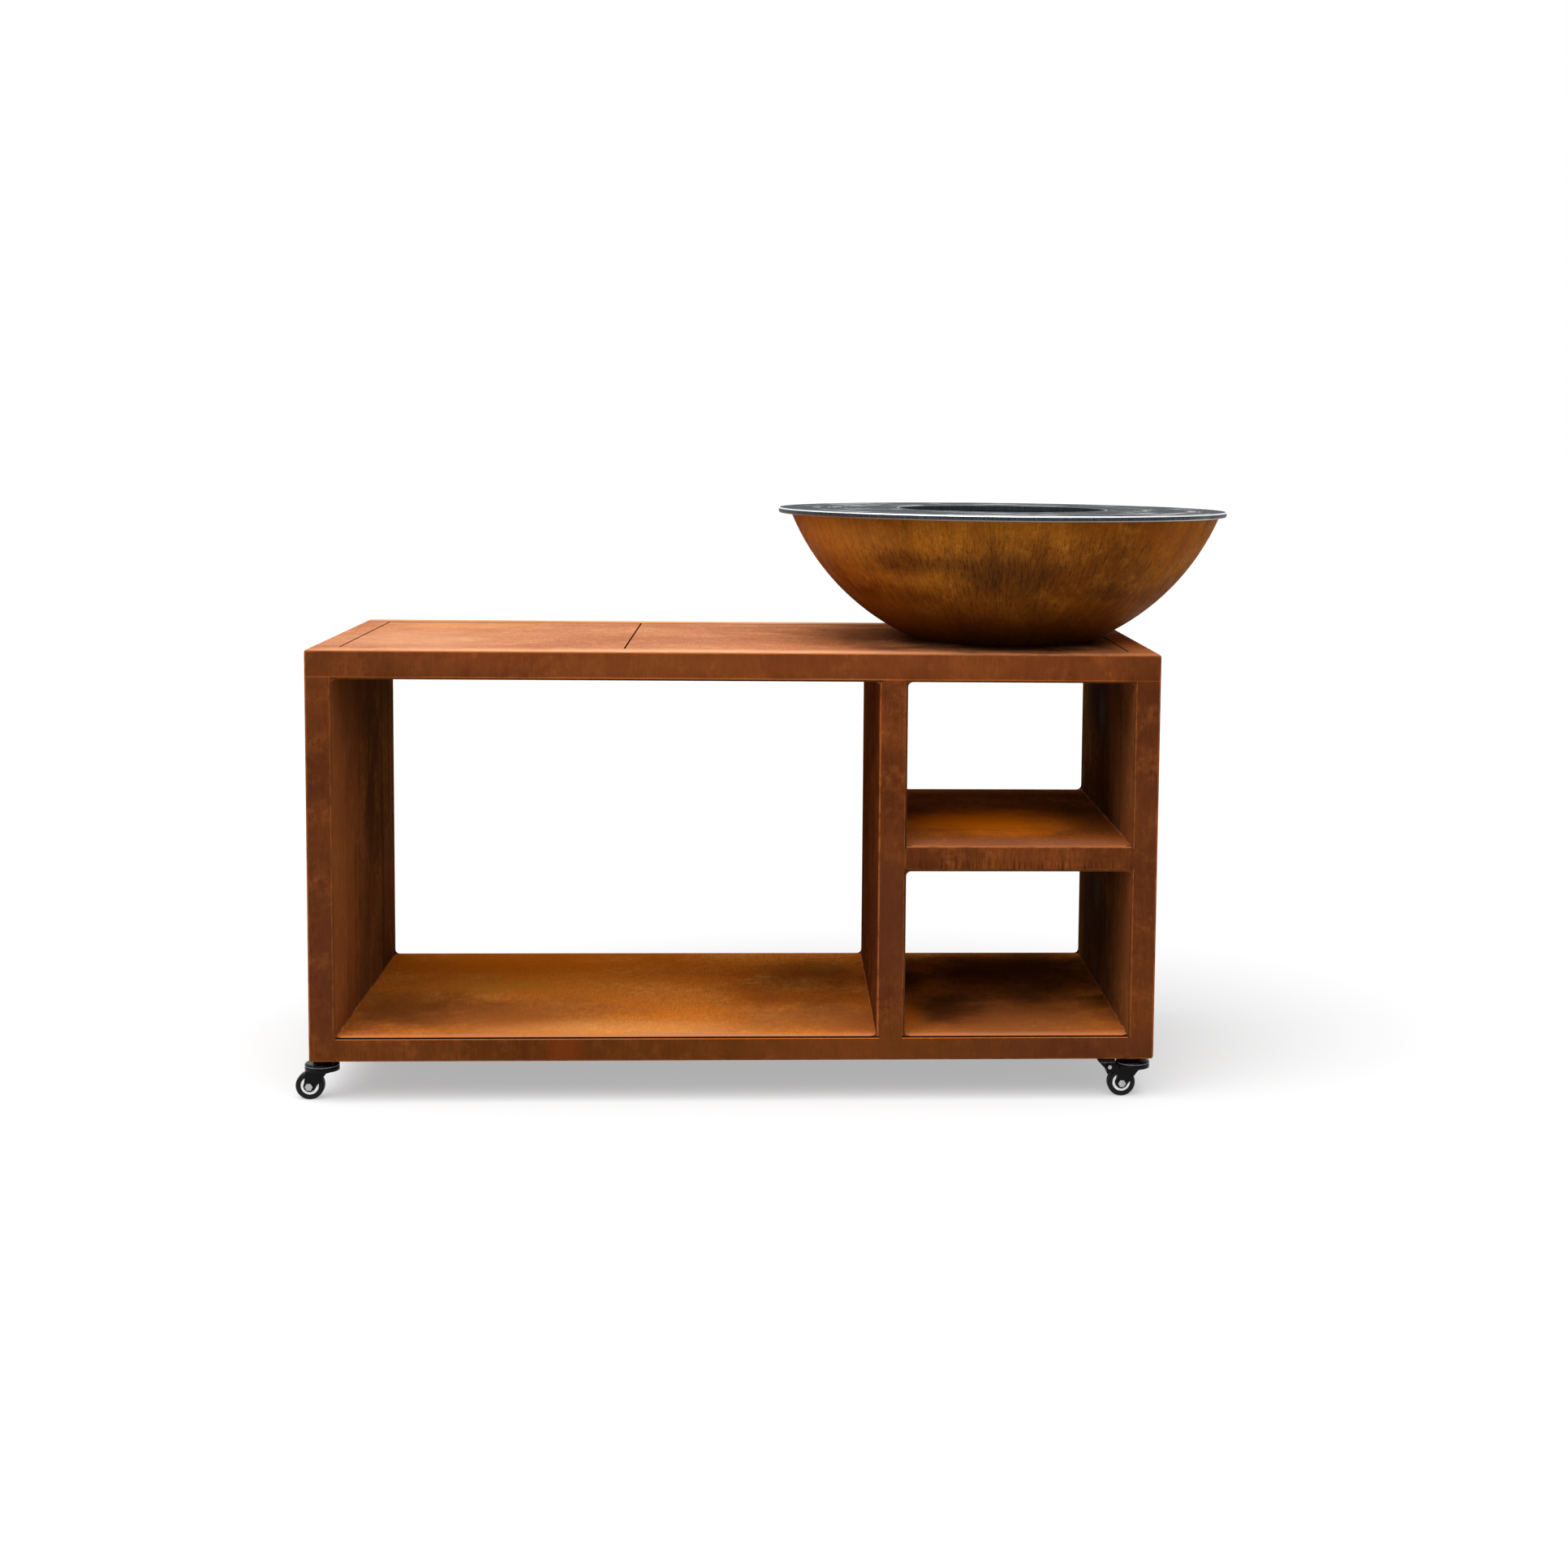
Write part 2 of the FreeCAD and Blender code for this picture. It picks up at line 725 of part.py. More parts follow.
def make_stem(label, x, y):
    """Threaded stem, collar and kingpin in one turned piece, riveted over below the crown."""
    rivet_top = crown_top - dim.crown_plate - dim.race_play
    collar_foot = cup_foot - dim.collar_plate
    body = new_body(label + "_stem")
    section = new_sketch(body, "XZ_Plane")
    draw(section, [
        (ZERO, rivet_top - dim.rivet_plate),
        (dim.rivet_radius, rivet_top - dim.rivet_plate),
        (dim.rivet_radius, rivet_top),
        (dim.stem_radius, rivet_top),
        (dim.stem_radius, collar_foot),
        (dim.collar_radius, collar_foot),
        (dim.collar_radius, cup_foot),
        (dim.stem_radius, cup_foot),
        (dim.stem_radius, underside + dim.stem_length),
        (ZERO, underside + dim.stem_length),
    ])
    revolve(body, section)
    place(body, x, y)


def make_cup(label, x, y):
    """Pressed upper race: a neck clamped between the stem's collar and the carcass, and a round-edged brim."""
    rim_foot = crown_top + dim.cup_play
    bore = dim.stem_radius + dim.running_play
    body = new_body(label + "_cup")
    section = new_sketch(body, "XZ_Plane")
    draw(section, [
        (bore, cup_foot),
        (dim.cup_neck - dim.cup_sheet, cup_foot),
        (dim.cup_neck - dim.cup_sheet, brim_foot),
        Corner(dim.cup_radius - dim.cup_shoulder, brim_foot, dim.cup_shoulder - dim.cup_sheet, -1),
        (dim.cup_radius - dim.cup_sheet, brim_top - dim.cup_shoulder),
        (dim.cup_radius - dim.cup_sheet, rim_foot),
        (dim.cup_radius, rim_foot),
        Corner(dim.cup_radius, brim_top - dim.cup_shoulder, dim.cup_shoulder, 1),
        (dim.cup_radius - dim.cup_shoulder, brim_top),
        (dim.cup_neck, brim_top),
        (dim.cup_neck, underside),
        (bore, underside),
    ])
    revolve(body, section)
    place(body, x, y)


def make_race(label, x, y):
    """Thrust ring between the cup's brim and the fork's crown, lying on the crown."""
    body = new_body(label + "_race")
    section = new_sketch(body, "XZ_Plane")
    draw(section, rectangle(dim.race_inner, crown_top, dim.race_outer, brim_foot - dim.race_play))
    revolve(body, section)
    place(body, x, y)


def leg_outline():
    """Side view of a fork leg: from the crown down round the axle's boss, and back up along the heel."""
    half = root(dim.crown_radius * dim.crown_radius - leg_outer * leg_outer) - dim.leg_inset
    head = crown_top - dim.crown_plate + dim.leg_inset
    heel_x, heel_z = dim.heel_reach, crown_foot - dim.heel_drop
    run_x, run_z = heel_x - axle_x, heel_z - axle_z
    span = root(run_x * run_x + run_z * run_z)
    across = dim.boss_radius / span
    along = root(1 - across * across)
    touch_x = axle_x + dim.boss_radius * (across * run_x + along * run_z) / span
    touch_z = axle_z + dim.boss_radius * (across * run_z - along * run_x) / span
    return [
        (half, head),
        (-half, head),
        Corner(axle_x - dim.boss_radius, axle_z, dim.boss_radius, 1),
        (touch_x, touch_z),
        (heel_x, heel_z),
        (half, crown_foot),
    ]


def ear_outline():
    """Side view of the ear that carries the brake's pin, run into the leg."""
    return [
        (-dim.heel_reach, crown_top - dim.crown_plate),
        Corner(pivot_x, pivot_z + dim.ear_radius, dim.ear_radius, 1),
        Corner(pivot_x - dim.ear_radius, pivot_z, dim.ear_radius, 1),
        (pivot_x, pivot_z - dim.ear_radius),
        (axle_x, axle_z + dim.boss_radius),
        (-dim.heel_reach, crown_foot),
    ]


def make_fork(label, x, y, braked):
    """Pressed fork: two legs with a pip on each, under a crown that turns on the kingpin."""
    body = new_body(label + "_fork")
    legs = new_sketch(body, "XZ_Plane")
    draw(legs, leg_outline())
    pad(body, legs, 2 * leg_outer, symmetric=True)
    pips = new_sketch(body, "XZ_Plane")
    draw_circle(pips, axle_x + dim.pip_ahead, axle_z + dim.pip_above, dim.pip_radius)
    pad(body, pips, 2 * (leg_outer + dim.pip_rise), symmetric=True)
    holes = new_sketch(body, "XZ_Plane")
    draw_circle(holes, axle_x, axle_z, axle_hole)
    if braked:
        ears = new_sketch(body, "XZ_Plane")
        draw(ears, ear_outline())
        pad(body, ears, 2 * leg_outer, symmetric=True)
        draw_circle(holes, pivot_x, pivot_z, dim.pin_radius + dim.running_play)
    pocket(body, holes, 2 * leg_outer, symmetric=True)
    gap = new_sketch(body, "XZ_Plane")
    reach = pivot_reach + dim.caster_trail + dim.crown_radius
    draw(gap, rectangle(-reach, ZERO, reach, underside))
    pocket(body, gap, 2 * leg_inner, symmetric=True)
    crown = new_sketch(body, "XZ_Plane")
    bore = dim.stem_radius + dim.running_play
    plate_foot = crown_top - dim.crown_plate
    skirt = dim.crown_radius - dim.fork_sheet
    draw(crown, [
        (bore, plate_foot),
        (skirt, plate_foot),
        (skirt, crown_foot),
        (dim.crown_radius, crown_foot),
        (dim.crown_radius, crown_top - dim.crown_edge),
        (dim.crown_radius - dim.crown_edge, crown_top),
        (bore, crown_top),
    ])
    revolve(body, crown)
    place(body, x, y)


def make_axle(label, x, y):
    """Axle bolt with its head on the front, and its nut behind."""
    body = new_body(label + "_axle")
    shank = new_sketch(body, "XY_Plane")
    end = leg_outer + dim.nut_height + dim.thread_end
    draw(shank, rectangle(ZERO, -leg_outer, dim.axle_radius, end))
    revolve(body, shank)
    head = new_sketch(body, "XZ_Plane", leg_outer)
    draw(head, hexagon(dim.bolt_flats))
    pad(body, head, dim.bolt_head)
    nut = new_sketch(body, "XZ_Plane", -leg_outer)
    draw(nut, hexagon(dim.bolt_flats))
    draw_circle(nut, ZERO, ZERO, axle_hole)
    pad(body, nut, dim.nut_height, reverse=True)
    place(body, x + axle_x, y, axle_z)


def make_bush(label, x, y):
    """Bush clamped between the legs, on which the wheel turns."""
    body = new_body(label + "_bush")
    section = new_sketch(body, "XY_Plane")
    draw(section, rectangle(axle_hole, -leg_inner, bush_radius, leg_inner))
    revolve(body, section)
    place(body, x + axle_x, y, axle_z)


def make_hub(label, x, y):
    """Bright wheel centre: a boss round the bush, a thinner web and a flat ring inside the tyre."""
    boss_radius = hub_bore + dim.hub_boss_wall
    ring_inner = hub_radius - dim.hub_ring_width
    boss_half = leg_inner - dim.hub_end_play
    face_half = dim.tyre_width / 2 - dim.hub_face_inset
    web_half = dim.hub_web / 2
    front = [
        (hub_bore, boss_half),
        (boss_radius, boss_half),
        (boss_radius, web_half),
        (ring_inner, web_half),
        (ring_inner, face_half),
        (hub_radius, face_half),
    ]
    body = new_body(label + "_hub")
    section = new_sketch(body, "XY_Plane")
    draw(section, front + [(radius, -half) for radius, half in reversed(front)])
    revolve(body, section)
    place(body, x + axle_x, y, axle_z)


def make_tyre(label, x, y):
    """Tyre with eased shoulders, cast round the wheel centre."""
    half = dim.tyre_width / 2
    body = new_body(label + "_tyre")
    section = new_sketch(body, "XY_Plane")
    draw(section, [
        (hub_radius, -half),
        (dim.wheel_radius - dim.tyre_shoulder, -half),
        (dim.wheel_radius, -half + dim.tyre_shoulder),
        (dim.wheel_radius, half - dim.tyre_shoulder),
        (dim.wheel_radius - dim.tyre_shoulder, half),
        (hub_radius, half),
    ])
    revolve(body, section)
    place(body, x + axle_x, y, axle_z)


def make_brake(label, x, y):
    """Brake pedal with its cheeks and shoe, and the riveted pin that it turns on."""
    body = new_body(label + "_pedal")
    outline = new_sketch(body, "XZ_Plane")
    tip_x = pivot_x - dim.pedal_reach
    tip_z = pivot_z + dim.pedal_rise
    cheek_x = -dim.crown_radius - dim.pedal_crown_gap
    draw(outline, [
        (tip_x, tip_z),
        (tip_x, tip_z - dim.pedal_plate),
        (shoe_x - dim.shoe_radius, shoe_z + dim.shoe_radius),
        Corner(shoe_x - dim.shoe_radius, shoe_z, dim.shoe_radius, 1),
        Corner(shoe_x, shoe_z - dim.shoe_radius, dim.shoe_radius, 1),
        (shoe_x + dim.shoe_radius, shoe_z),
        (cheek_x, pivot_z),
        (cheek_x, tip_z),
    ])
    pad(body, outline, 2 * (leg_inner - dim.pedal_side_play), symmetric=True)
    hole = new_sketch(body, "XZ_Plane")
    draw_circle(hole, pivot_x, pivot_z, dim.pin_radius + dim.running_play)
    pocket(body, hole, 2 * leg_inner, symmetric=True)
    place(body, x, y)

    pin = new_body(label + "_brake_pin")
    section = new_sketch(pin, "XY_Plane")
    head_end = leg_outer + dim.pin_head
    draw(section, [
        (ZERO, -head_end),
        (dim.pin_head_radius, -head_end),
        (dim.pin_head_radius, -leg_outer),
        (dim.pin_radius, -leg_outer),
        (dim.pin_radius, leg_outer),
        (dim.pin_head_radius, leg_outer),
        (dim.pin_head_radius, head_end),
        (ZERO, head_end),
    ])
    revolve(pin, section)
    place(pin, x + pivot_x, y, pivot_z)


def make_caster_nuts():
    """Weld nuts inside the end walls, one over each caster stem."""
    body = new_body("caster_nuts")
    bore = dim.stem_radius + dim.running_play
    outlines = new_sketch(body, "XY_Plane")
    for side in (-1, 1):
        for end in (-1, 1):
            x, y = caster_x[side], end * caster_y
            draw(outlines, [(x + corner[0], y + corner[1]) for corner in hexagon(dim.stem_nut_flats)])
            draw_circle(outlines, x, y, bore)
    pad(body, outlines, dim.stem_nut_height)
    place(body, z=underside + dim.sheet)


def make_casters():
    """Four swivel casters under the end walls; the right-hand ones have brakes."""
    for end_name, end in (("front", -1), ("rear", 1)):
        for side_name, side in (("left", -1), ("right", 1)):
            label = f"{end_name}_{side_name}"
            x, y = caster_x[side], end * caster_y
            braked = side > 0
            make_stem(label, x, y)
            make_cup(label, x, y)
            make_race(label, x, y)
            make_fork(label, x, y, braked)
            make_axle(label, x, y)
            make_bush(label, x, y)
            make_hub(label, x, y)
            make_tyre(label, x, y)
            if braked:
                make_brake(label, x, y)
    make_caster_nuts()


def write_parts():
    """Write every sub-part to its own file, once the whole document is sound."""
    doc.recompute()
    failed = [thing.Label for thing in doc.Objects if {"Invalid", "Error"} & set(thing.State)]
    failed += [part.Label for part in sub_parts if part.Shape.isNull() or not part.Shape.isValid()]
    if failed:
        raise RuntimeError("not built: " + ", ".join(failed))
    os.makedirs("parts", exist_ok=True)
    for part in sub_parts:
        part.Shape.exportStep(f"parts/{part.Label}.step")
    print(len(sub_parts), "sub-parts written")


make_top()
make_inset_plates()
make_plate_supports()
make_side("left_side", -1)
make_side("right_side", 1)
make_base()
make_divider()
make_shelf()
make_corner_welds()
make_joint_welds()
make_griddle(make_bowl())
make_casters()
write_parts()
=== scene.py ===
# %% [markdown]
# # Dressing a brazier grill table
# The object is an open kitchen table of folded weathering steel on four small casters. A spun fire bowl
# stands on its right end and carries a loose ring griddle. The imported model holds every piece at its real
# size and place, so this file gives the pieces their finish, adds the raised details that are too fine for
# the model, and sets the light and the camera. Lengths are in metres, +Z is up and the front of the table
# looks towards -Y.

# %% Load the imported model
import json
import math
from collections import namedtuple

import bpy
from mathutils import Matrix, Vector


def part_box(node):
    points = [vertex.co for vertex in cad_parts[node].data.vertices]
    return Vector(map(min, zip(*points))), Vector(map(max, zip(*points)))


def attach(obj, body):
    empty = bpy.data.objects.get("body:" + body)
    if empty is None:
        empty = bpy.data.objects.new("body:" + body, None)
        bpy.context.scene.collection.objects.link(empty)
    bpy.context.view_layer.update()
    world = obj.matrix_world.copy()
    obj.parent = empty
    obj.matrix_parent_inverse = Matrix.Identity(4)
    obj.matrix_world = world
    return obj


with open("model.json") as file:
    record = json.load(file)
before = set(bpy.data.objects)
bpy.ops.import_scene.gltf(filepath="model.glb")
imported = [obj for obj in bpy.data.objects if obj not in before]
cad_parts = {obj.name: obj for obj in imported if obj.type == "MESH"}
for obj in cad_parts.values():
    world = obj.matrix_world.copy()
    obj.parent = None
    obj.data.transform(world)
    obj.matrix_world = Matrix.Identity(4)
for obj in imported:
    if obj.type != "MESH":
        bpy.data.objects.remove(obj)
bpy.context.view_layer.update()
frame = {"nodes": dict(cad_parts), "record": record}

# %% [markdown]
# ## Places on the table
# Finishes and welds are placed by heights and axes of the real pieces. They could be typed in again, but
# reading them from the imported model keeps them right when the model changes.

# %% Read places from the model
CORNERS = ("front_left", "front_right", "rear_left", "rear_right")
MILLIMETRE = 0.001
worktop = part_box("worktop_lid")[1].z
deck_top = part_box("base_deck")[1].z
shelf_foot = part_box("shelf_soffit")[0].z
shelf_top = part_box("shelf_shell")[1].z
apron_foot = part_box("top_tray")[0].z
table_front, table_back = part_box("base_shell")[0].y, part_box("base_shell")[1].y
plates_low, plates_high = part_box("worktop_lid")[0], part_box("bowl_plate")[1]
left_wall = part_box("left_side_liner")[1].x
right_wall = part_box("right_side_liner")[0].x
divider_left, divider_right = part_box("divider_shell")[0].x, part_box("divider_liner")[1].x
bowl_low, bowl_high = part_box("fire_bowl")
bowl_axis = (bowl_low + bowl_high) / 2
ring_low, ring_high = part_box("griddle_ring")
ring_axis = (ring_low + ring_high) / 2
print("worktop", round(worktop, 3), "deck", round(deck_top, 3), "bowl axis", bowl_axis.to_tuple(3))

# %% [markdown]
# ## A short way to write node trees
# Every finish here is a tree of shader nodes. Adding and linking nodes one by one takes many lines, so a
# small class wraps a tree and gives one short word to each kind of node that the finishes need. A value
# given to a word may be a plain number, a colour or the output of another node.

# %% Node sheet
COLOUR_A, COLOUR_B, COLOUR_RESULT = 6, 7, 2


def srgb(red, green, blue):
    """A colour as a screen shows it, 0 to 255, turned into the linear colour that shaders use."""
    def linear(value):
        share = value / 255
        return share / 12.92 if share <= 0.04045 else ((share + 0.055) / 1.055) ** 2.4
    return (linear(red), linear(green), linear(blue), 1.0)


class NodeSheet:
    """A node tree with short words for its nodes."""

    def __init__(self, tree):
        self.tree = tree

    def feed(self, socket, value):
        if isinstance(value, bpy.types.NodeSocket):
            self.tree.links.new(value, socket)
        else:
            socket.default_value = value

    def add(self, kind, inputs=(), **settings):
        node = self.tree.nodes.new(kind)
        for name, value in settings.items():
            setattr(node, name, value)
        for key, value in dict(inputs).items():
            self.feed(node.inputs[key], value)
        return node

    def group(self, tree, **inputs):
        named = {name.replace("_", " "): value for name, value in inputs.items()}
        node = self.add("ShaderNodeGroup", node_tree=tree)
        for name, value in named.items():
            self.feed(node.inputs[name], value)
        return node.outputs

    def math(self, operation, first, second=0.0):
        return self.add("ShaderNodeMath", {0: first, 1: second}, operation=operation).outputs[0]

    def vector(self, operation, first, second=(0.0, 0.0, 0.0)):
        node = self.add("ShaderNodeVectorMath", {0: first, 1: second}, operation=operation)
        return node.outputs["Value" if operation == "LENGTH" else "Vector"]

    def split(self, vector):
        return self.add("ShaderNodeSeparateXYZ", {0: vector}).outputs

    def join(self, x, y, z):
        return self.add("ShaderNodeCombineXYZ", {0: x, 1: y, 2: z}).outputs[0]

    def noise(self, vector, scale, detail=3.0, roughness=0.55, distortion=0.0):
        inputs = {"Vector": vector, "Scale": scale, "Detail": detail}
        inputs.update({"Roughness": roughness, "Distortion": distortion})
        return self.add("ShaderNodeTexNoise", inputs).outputs[0]

    def span(self, value, low, high, to_low=0.0, to_high=1.0):
        """Ease a value from one range into another, as low to high becomes to_low to to_high."""
        inputs = {"Value": value, "From Min": low, "From Max": high, "To Min": to_low, "To Max": to_high}
        return self.add("ShaderNodeMapRange", inputs, interpolation_type="SMOOTHSTEP").outputs[0]

    def mix(self, factor, first, second, blend="MIX"):
        inputs = {0: factor, COLOUR_A: first, COLOUR_B: second}
        node = self.add("ShaderNodeMix", inputs, data_type="RGBA", blend_type=blend)
        return node.outputs[COLOUR_RESULT]


def new_group(name, inputs, outputs):
    """An empty shader group with named sockets: its sheet, what it is given and what it puts out."""
    tree = bpy.data.node_groups.new(name, "ShaderNodeTree")
    for socket, kind in inputs.items():
        tree.interface.new_socket(name=socket, in_out="INPUT", socket_type="NodeSocket" + kind)
    for socket, kind in outputs.items():
        tree.interface.new_socket(name=socket, in_out="OUTPUT", socket_type="NodeSocket" + kind)
    sheet = NodeSheet(tree)
    return sheet, sheet.add("NodeGroupInput").outputs, sheet.add("NodeGroupOutput").inputs


print("node sheet ready")

# %% [markdown]
# ## Rust patina
# Weathering steel grows a tight skin of rust: broad clouds where rain stood or ran off, smaller mottling
# inside them, fine upright fibres where drops ran, dark pits, bright blooms and a grain of about a
# millimetre that makes it matte. Several layers of noise at those sizes give all of this. The skin is on
# every sheet of the table and on the bowl, only in other tones, so it is a group that takes three tones and
# the size of its clouds.

# %% Rust patina group
VEILS_PER_CLOUD = 3.1
MOTTLING_PER_METRE, GRAIN_PER_METRE = 60.0, 620.0
PITS_PER_METRE, BLOOMS_PER_METRE = 210.0, 340.0
FIBRES_PER_METRE = (330.0, 330.0, 45.0)
MOST_OF_NOISE = (0.3, 0.7)
CLOUD_SPAN, VEIL_SPAN, MOTTLING_SPAN = (0.34, 0.62), (0.42, 0.76), (0.3, 0.65)
PIT_SPAN, BLOOM_SPAN = (0.66, 0.74), (0.7, 0.78)
PIT_SHARE, BLOOM_SHARE = 0.5, 0.7
GRAIN_TONE, MOTTLING_TONE, FIBRE_TONE = (0.8, 1.17), (0.94, 1.06), (0.86, 1.13)
RUST_ROUGHNESS = (0.66, 0.86)
MOTTLING_RELIEF, PIT_RELIEF = 0.8, 0.7


def make_rust_patina():
    inputs = {"Vector": "Vector", "Deep": "Color", "Body": "Color", "Bright": "Color", "Cloud Size": "Float"}
    outputs = {"Color": "Color", "Roughness": "Float", "Height": "Float"}
    sheet, given, result = new_group("rust patina", inputs, outputs)
    place = given["Vector"]
    per_metre = sheet.math("DIVIDE", 1.0, given["Cloud Size"])
    veils_per_metre = sheet.math("MULTIPLY", per_metre, VEILS_PER_CLOUD)
    clouds = sheet.noise(place, per_metre, detail=4.0, roughness=0.5, distortion=0.3)
    veils = sheet.noise(place, veils_per_metre, detail=5.0, roughness=0.6, distortion=0.2)
    mottling = sheet.noise(place, MOTTLING_PER_METRE, detail=5.0, roughness=0.65)
    grain = sheet.noise(place, GRAIN_PER_METRE, detail=2.0, roughness=0.6)
    stretched = sheet.vector("MULTIPLY", place, FIBRES_PER_METRE)
    fibres = sheet.noise(stretched, 1.0, detail=4.0, roughness=0.65)
    pits = sheet.span(sheet.noise(place, PITS_PER_METRE, detail=2.0, roughness=0.5), *PIT_SPAN)
    blooms = sheet.span(sheet.noise(place, BLOOMS_PER_METRE, detail=1.0, roughness=0.5), *BLOOM_SPAN)
    colour = sheet.mix(sheet.span(clouds, *CLOUD_SPAN), given["Deep"], given["Body"])
    bright_share = sheet.math("MULTIPLY", sheet.span(veils, *VEIL_SPAN), sheet.span(mottling, *MOTTLING_SPAN))
    colour = sheet.mix(bright_share, colour, given["Bright"])
    colour = sheet.mix(sheet.math("MULTIPLY", pits, PIT_SHARE), colour, given["Deep"])
    colour = sheet.mix(sheet.math("MULTIPLY", blooms, BLOOM_SHARE), colour, given["Bright"])
    speckle = sheet.span(grain, *MOST_OF_NOISE, *GRAIN_TONE)
    for layer, tone in ((mottling, MOTTLING_TONE), (fibres, FIBRE_TONE)):
        speckle = sheet.math("MULTIPLY", speckle, sheet.span(layer, *MOST_OF_NOISE, *tone))
    colour = sheet.mix(1.0, colour, sheet.join(speckle, speckle, speckle), "MULTIPLY")
    sheet.feed(result["Color"], colour)
    sheet.feed(result["Roughness"], sheet.span(mottling, *MOST_OF_NOISE, *RUST_ROUGHNESS))
    relief = sheet.math("ADD", grain, sheet.math("MULTIPLY", mottling, MOTTLING_RELIEF))
    sheet.feed(result["Height"], sheet.math("SUBTRACT", relief, sheet.math("MULTIPLY", pits, PIT_RELIEF)))
    return sheet.tree


rust_patina = make_rust_patina()
print(rust_patina.name, len(rust_patina.nodes), "nodes")

# %% [markdown]
# ## Edge wear with painted highlight, runs, patches and dust
# Some marks come back on many pieces. Bends and bevels are painted brighter: partly rust that water and
# hands wear there, partly a painted highlight where a bend catches the light. Rain leaves runs down upright
# faces. Here and there lies a patch of another tone with a ragged edge. Dust settles on what looks up. The
# bright edges could come from the mesh's curvature, but that needs joined faces. All flat sheets of the
# table lie square to the axes, so a face that looks another way is a bend, a bevel or a weld.

# %% Groups for edge wear and painted highlight, runs, patches and dust
SLANT_SPAN = (0.98, 0.88)
WEAR_PER_METRE, WEAR_SPAN, WEAR_SHARE = 45.0, (0.34, 0.6), (0.3, 1.0)
RUN_SPAN = (0.44, 0.68)
PATCH_EDGE_PER_METRE, PATCH_EDGE, PATCH_SPAN = 11.0, 1.1, (1.75, 0.75)
DUST_PER_METRE, DUST_SPAN, DUST_SLOPE = 130.0, (0.42, 0.7), (0.2, 0.95)


def make_wear_and_highlight():
    sheet, given, result = new_group("edge wear and highlight", {"Vector": "Vector", "Normal": "Vector"}, {"Mask": "Float"})
    x, y, z = sheet.split(sheet.vector("ABSOLUTE", given["Normal"]))
    squarest = sheet.math("MAXIMUM", x, sheet.math("MAXIMUM", y, z))
    slanted = sheet.span(squarest, *SLANT_SPAN)
    rubbed = sheet.noise(given["Vector"], WEAR_PER_METRE, detail=5.0, roughness=0.65)
    ragged = sheet.span(rubbed, *WEAR_SPAN, *WEAR_SHARE)
    sheet.feed(result["Mask"], sheet.math("MULTIPLY", slanted, ragged))
    return sheet.tree


def make_runs():
    inputs = {"Vector": "Vector", "Width": "Float", "Length": "Float"}
    sheet, given, result = new_group("runs", inputs, {"Mask": "Float"})
    x, y, z = sheet.split(given["Vector"])
    across = sheet.math("DIVIDE", 1.0, given["Width"])
    squeezed = sheet.join(
        sheet.math("MULTIPLY", x, across),
        sheet.math("MULTIPLY", y, across),
        sheet.math("DIVIDE", z, given["Length"]),
    )
    streaks = sheet.noise(squeezed, 1.0, detail=3.0, roughness=0.6)
    sheet.feed(result["Mask"], sheet.span(streaks, *RUN_SPAN))
    return sheet.tree


def make_patch():
    inputs = {"Vector": "Vector", "Centre": "Vector", "Reach": "Vector"}
    sheet, given, result = new_group("patch", inputs, {"Mask": "Float"})
    away = sheet.vector("SUBTRACT", given["Vector"], given["Centre"])
    share = sheet.vector("LENGTH", sheet.vector("DIVIDE", away, given["Reach"]))
    edge = sheet.noise(given["Vector"], PATCH_EDGE_PER_METRE, detail=6.0, roughness=0.62)
    ragged = sheet.math("MULTIPLY", edge, PATCH_EDGE)
    sheet.feed(result["Mask"], sheet.span(sheet.math("ADD", share, ragged), *PATCH_SPAN))
    return sheet.tree


def make_dust():
    inputs = {"Vector": "Vector", "Normal": "Vector"}
    sheet, given, result = new_group("dust", inputs, {"Mask": "Float"})
    upward = sheet.span(sheet.split(given["Normal"])[2], *DUST_SLOPE)
    drift = sheet.span(sheet.noise(given["Vector"], DUST_PER_METRE, detail=4.0, roughness=0.6), *DUST_SPAN)
    sheet.feed(result["Mask"], sheet.math("MULTIPLY", upward, drift))
    return sheet.tree


wear_and_highlight = make_wear_and_highlight()
runs = make_runs()
patch = make_patch()
dust = make_dust()
print("groups:", ", ".join(tree.name for tree in (wear_and_highlight, runs, patch, dust)))

# %% [markdown]
# ## The table's sheets
# All sheets are the same steel, but they rusted in different places: the top lies in the rain and is pale
# orange, the fronts are red-brown, the walls of the bays stay dark, and the deck is ochre with stains. So
# one function makes the finish from a tone for upright faces and a tone for faces that look up. The clouds
# run on from piece to piece, because the welds were ground flush before the steel was left to rust.

# %% Tones and the finish of one sheet
Tone = namedtuple("Tone", "deep body bright")
Patch = namedtuple("Patch", "centre reach colour share")
Runs = namedtuple("Runs", "width length fine_width fine_length share")
FRONT = Tone(srgb(90, 44, 20), srgb(113, 58, 26), srgb(138, 76, 35))
TOP = Tone(srgb(174, 104, 64), srgb(192, 121, 78), srgb(210, 142, 96))
DECK = Tone(srgb(190, 100, 28), srgb(216, 122, 42), srgb(226, 144, 66))
SHELF = Tone(srgb(144, 76, 30), srgb(170, 92, 40), srgb(188, 108, 54))
WALL = Tone(srgb(90, 55, 28), srgb(122, 76, 40), srgb(150, 96, 50))
GRIME_AND_SHADE = Tone(srgb(22, 12, 6), srgb(34, 19, 9), srgb(52, 28, 13))
EDGE = srgb(176, 98, 46)
DARK_RUN = srgb(56, 28, 12)
FRONT_RUNS = Runs(0.011, 0.22, 0.0035, 0.12, 0.25)
WALL_RUNS = Runs(0.022, 1.2, 0.009, 0.9, 0.7)
RUST_BUMP = 0.0007
DRIP_REACH = 0.03
SEAM_REACH = 0.006
SHEEN_ROUGHNESS = 0.75
BOWL_SHADE = (0.3, 0.6)
UP_SPAN = (0.45, 0.95)
EDGE_SHARE = 0.7
FRONT_CLOUD, SHELF_CLOUD, BROAD_CLOUD = 0.16, 0.25, 0.3
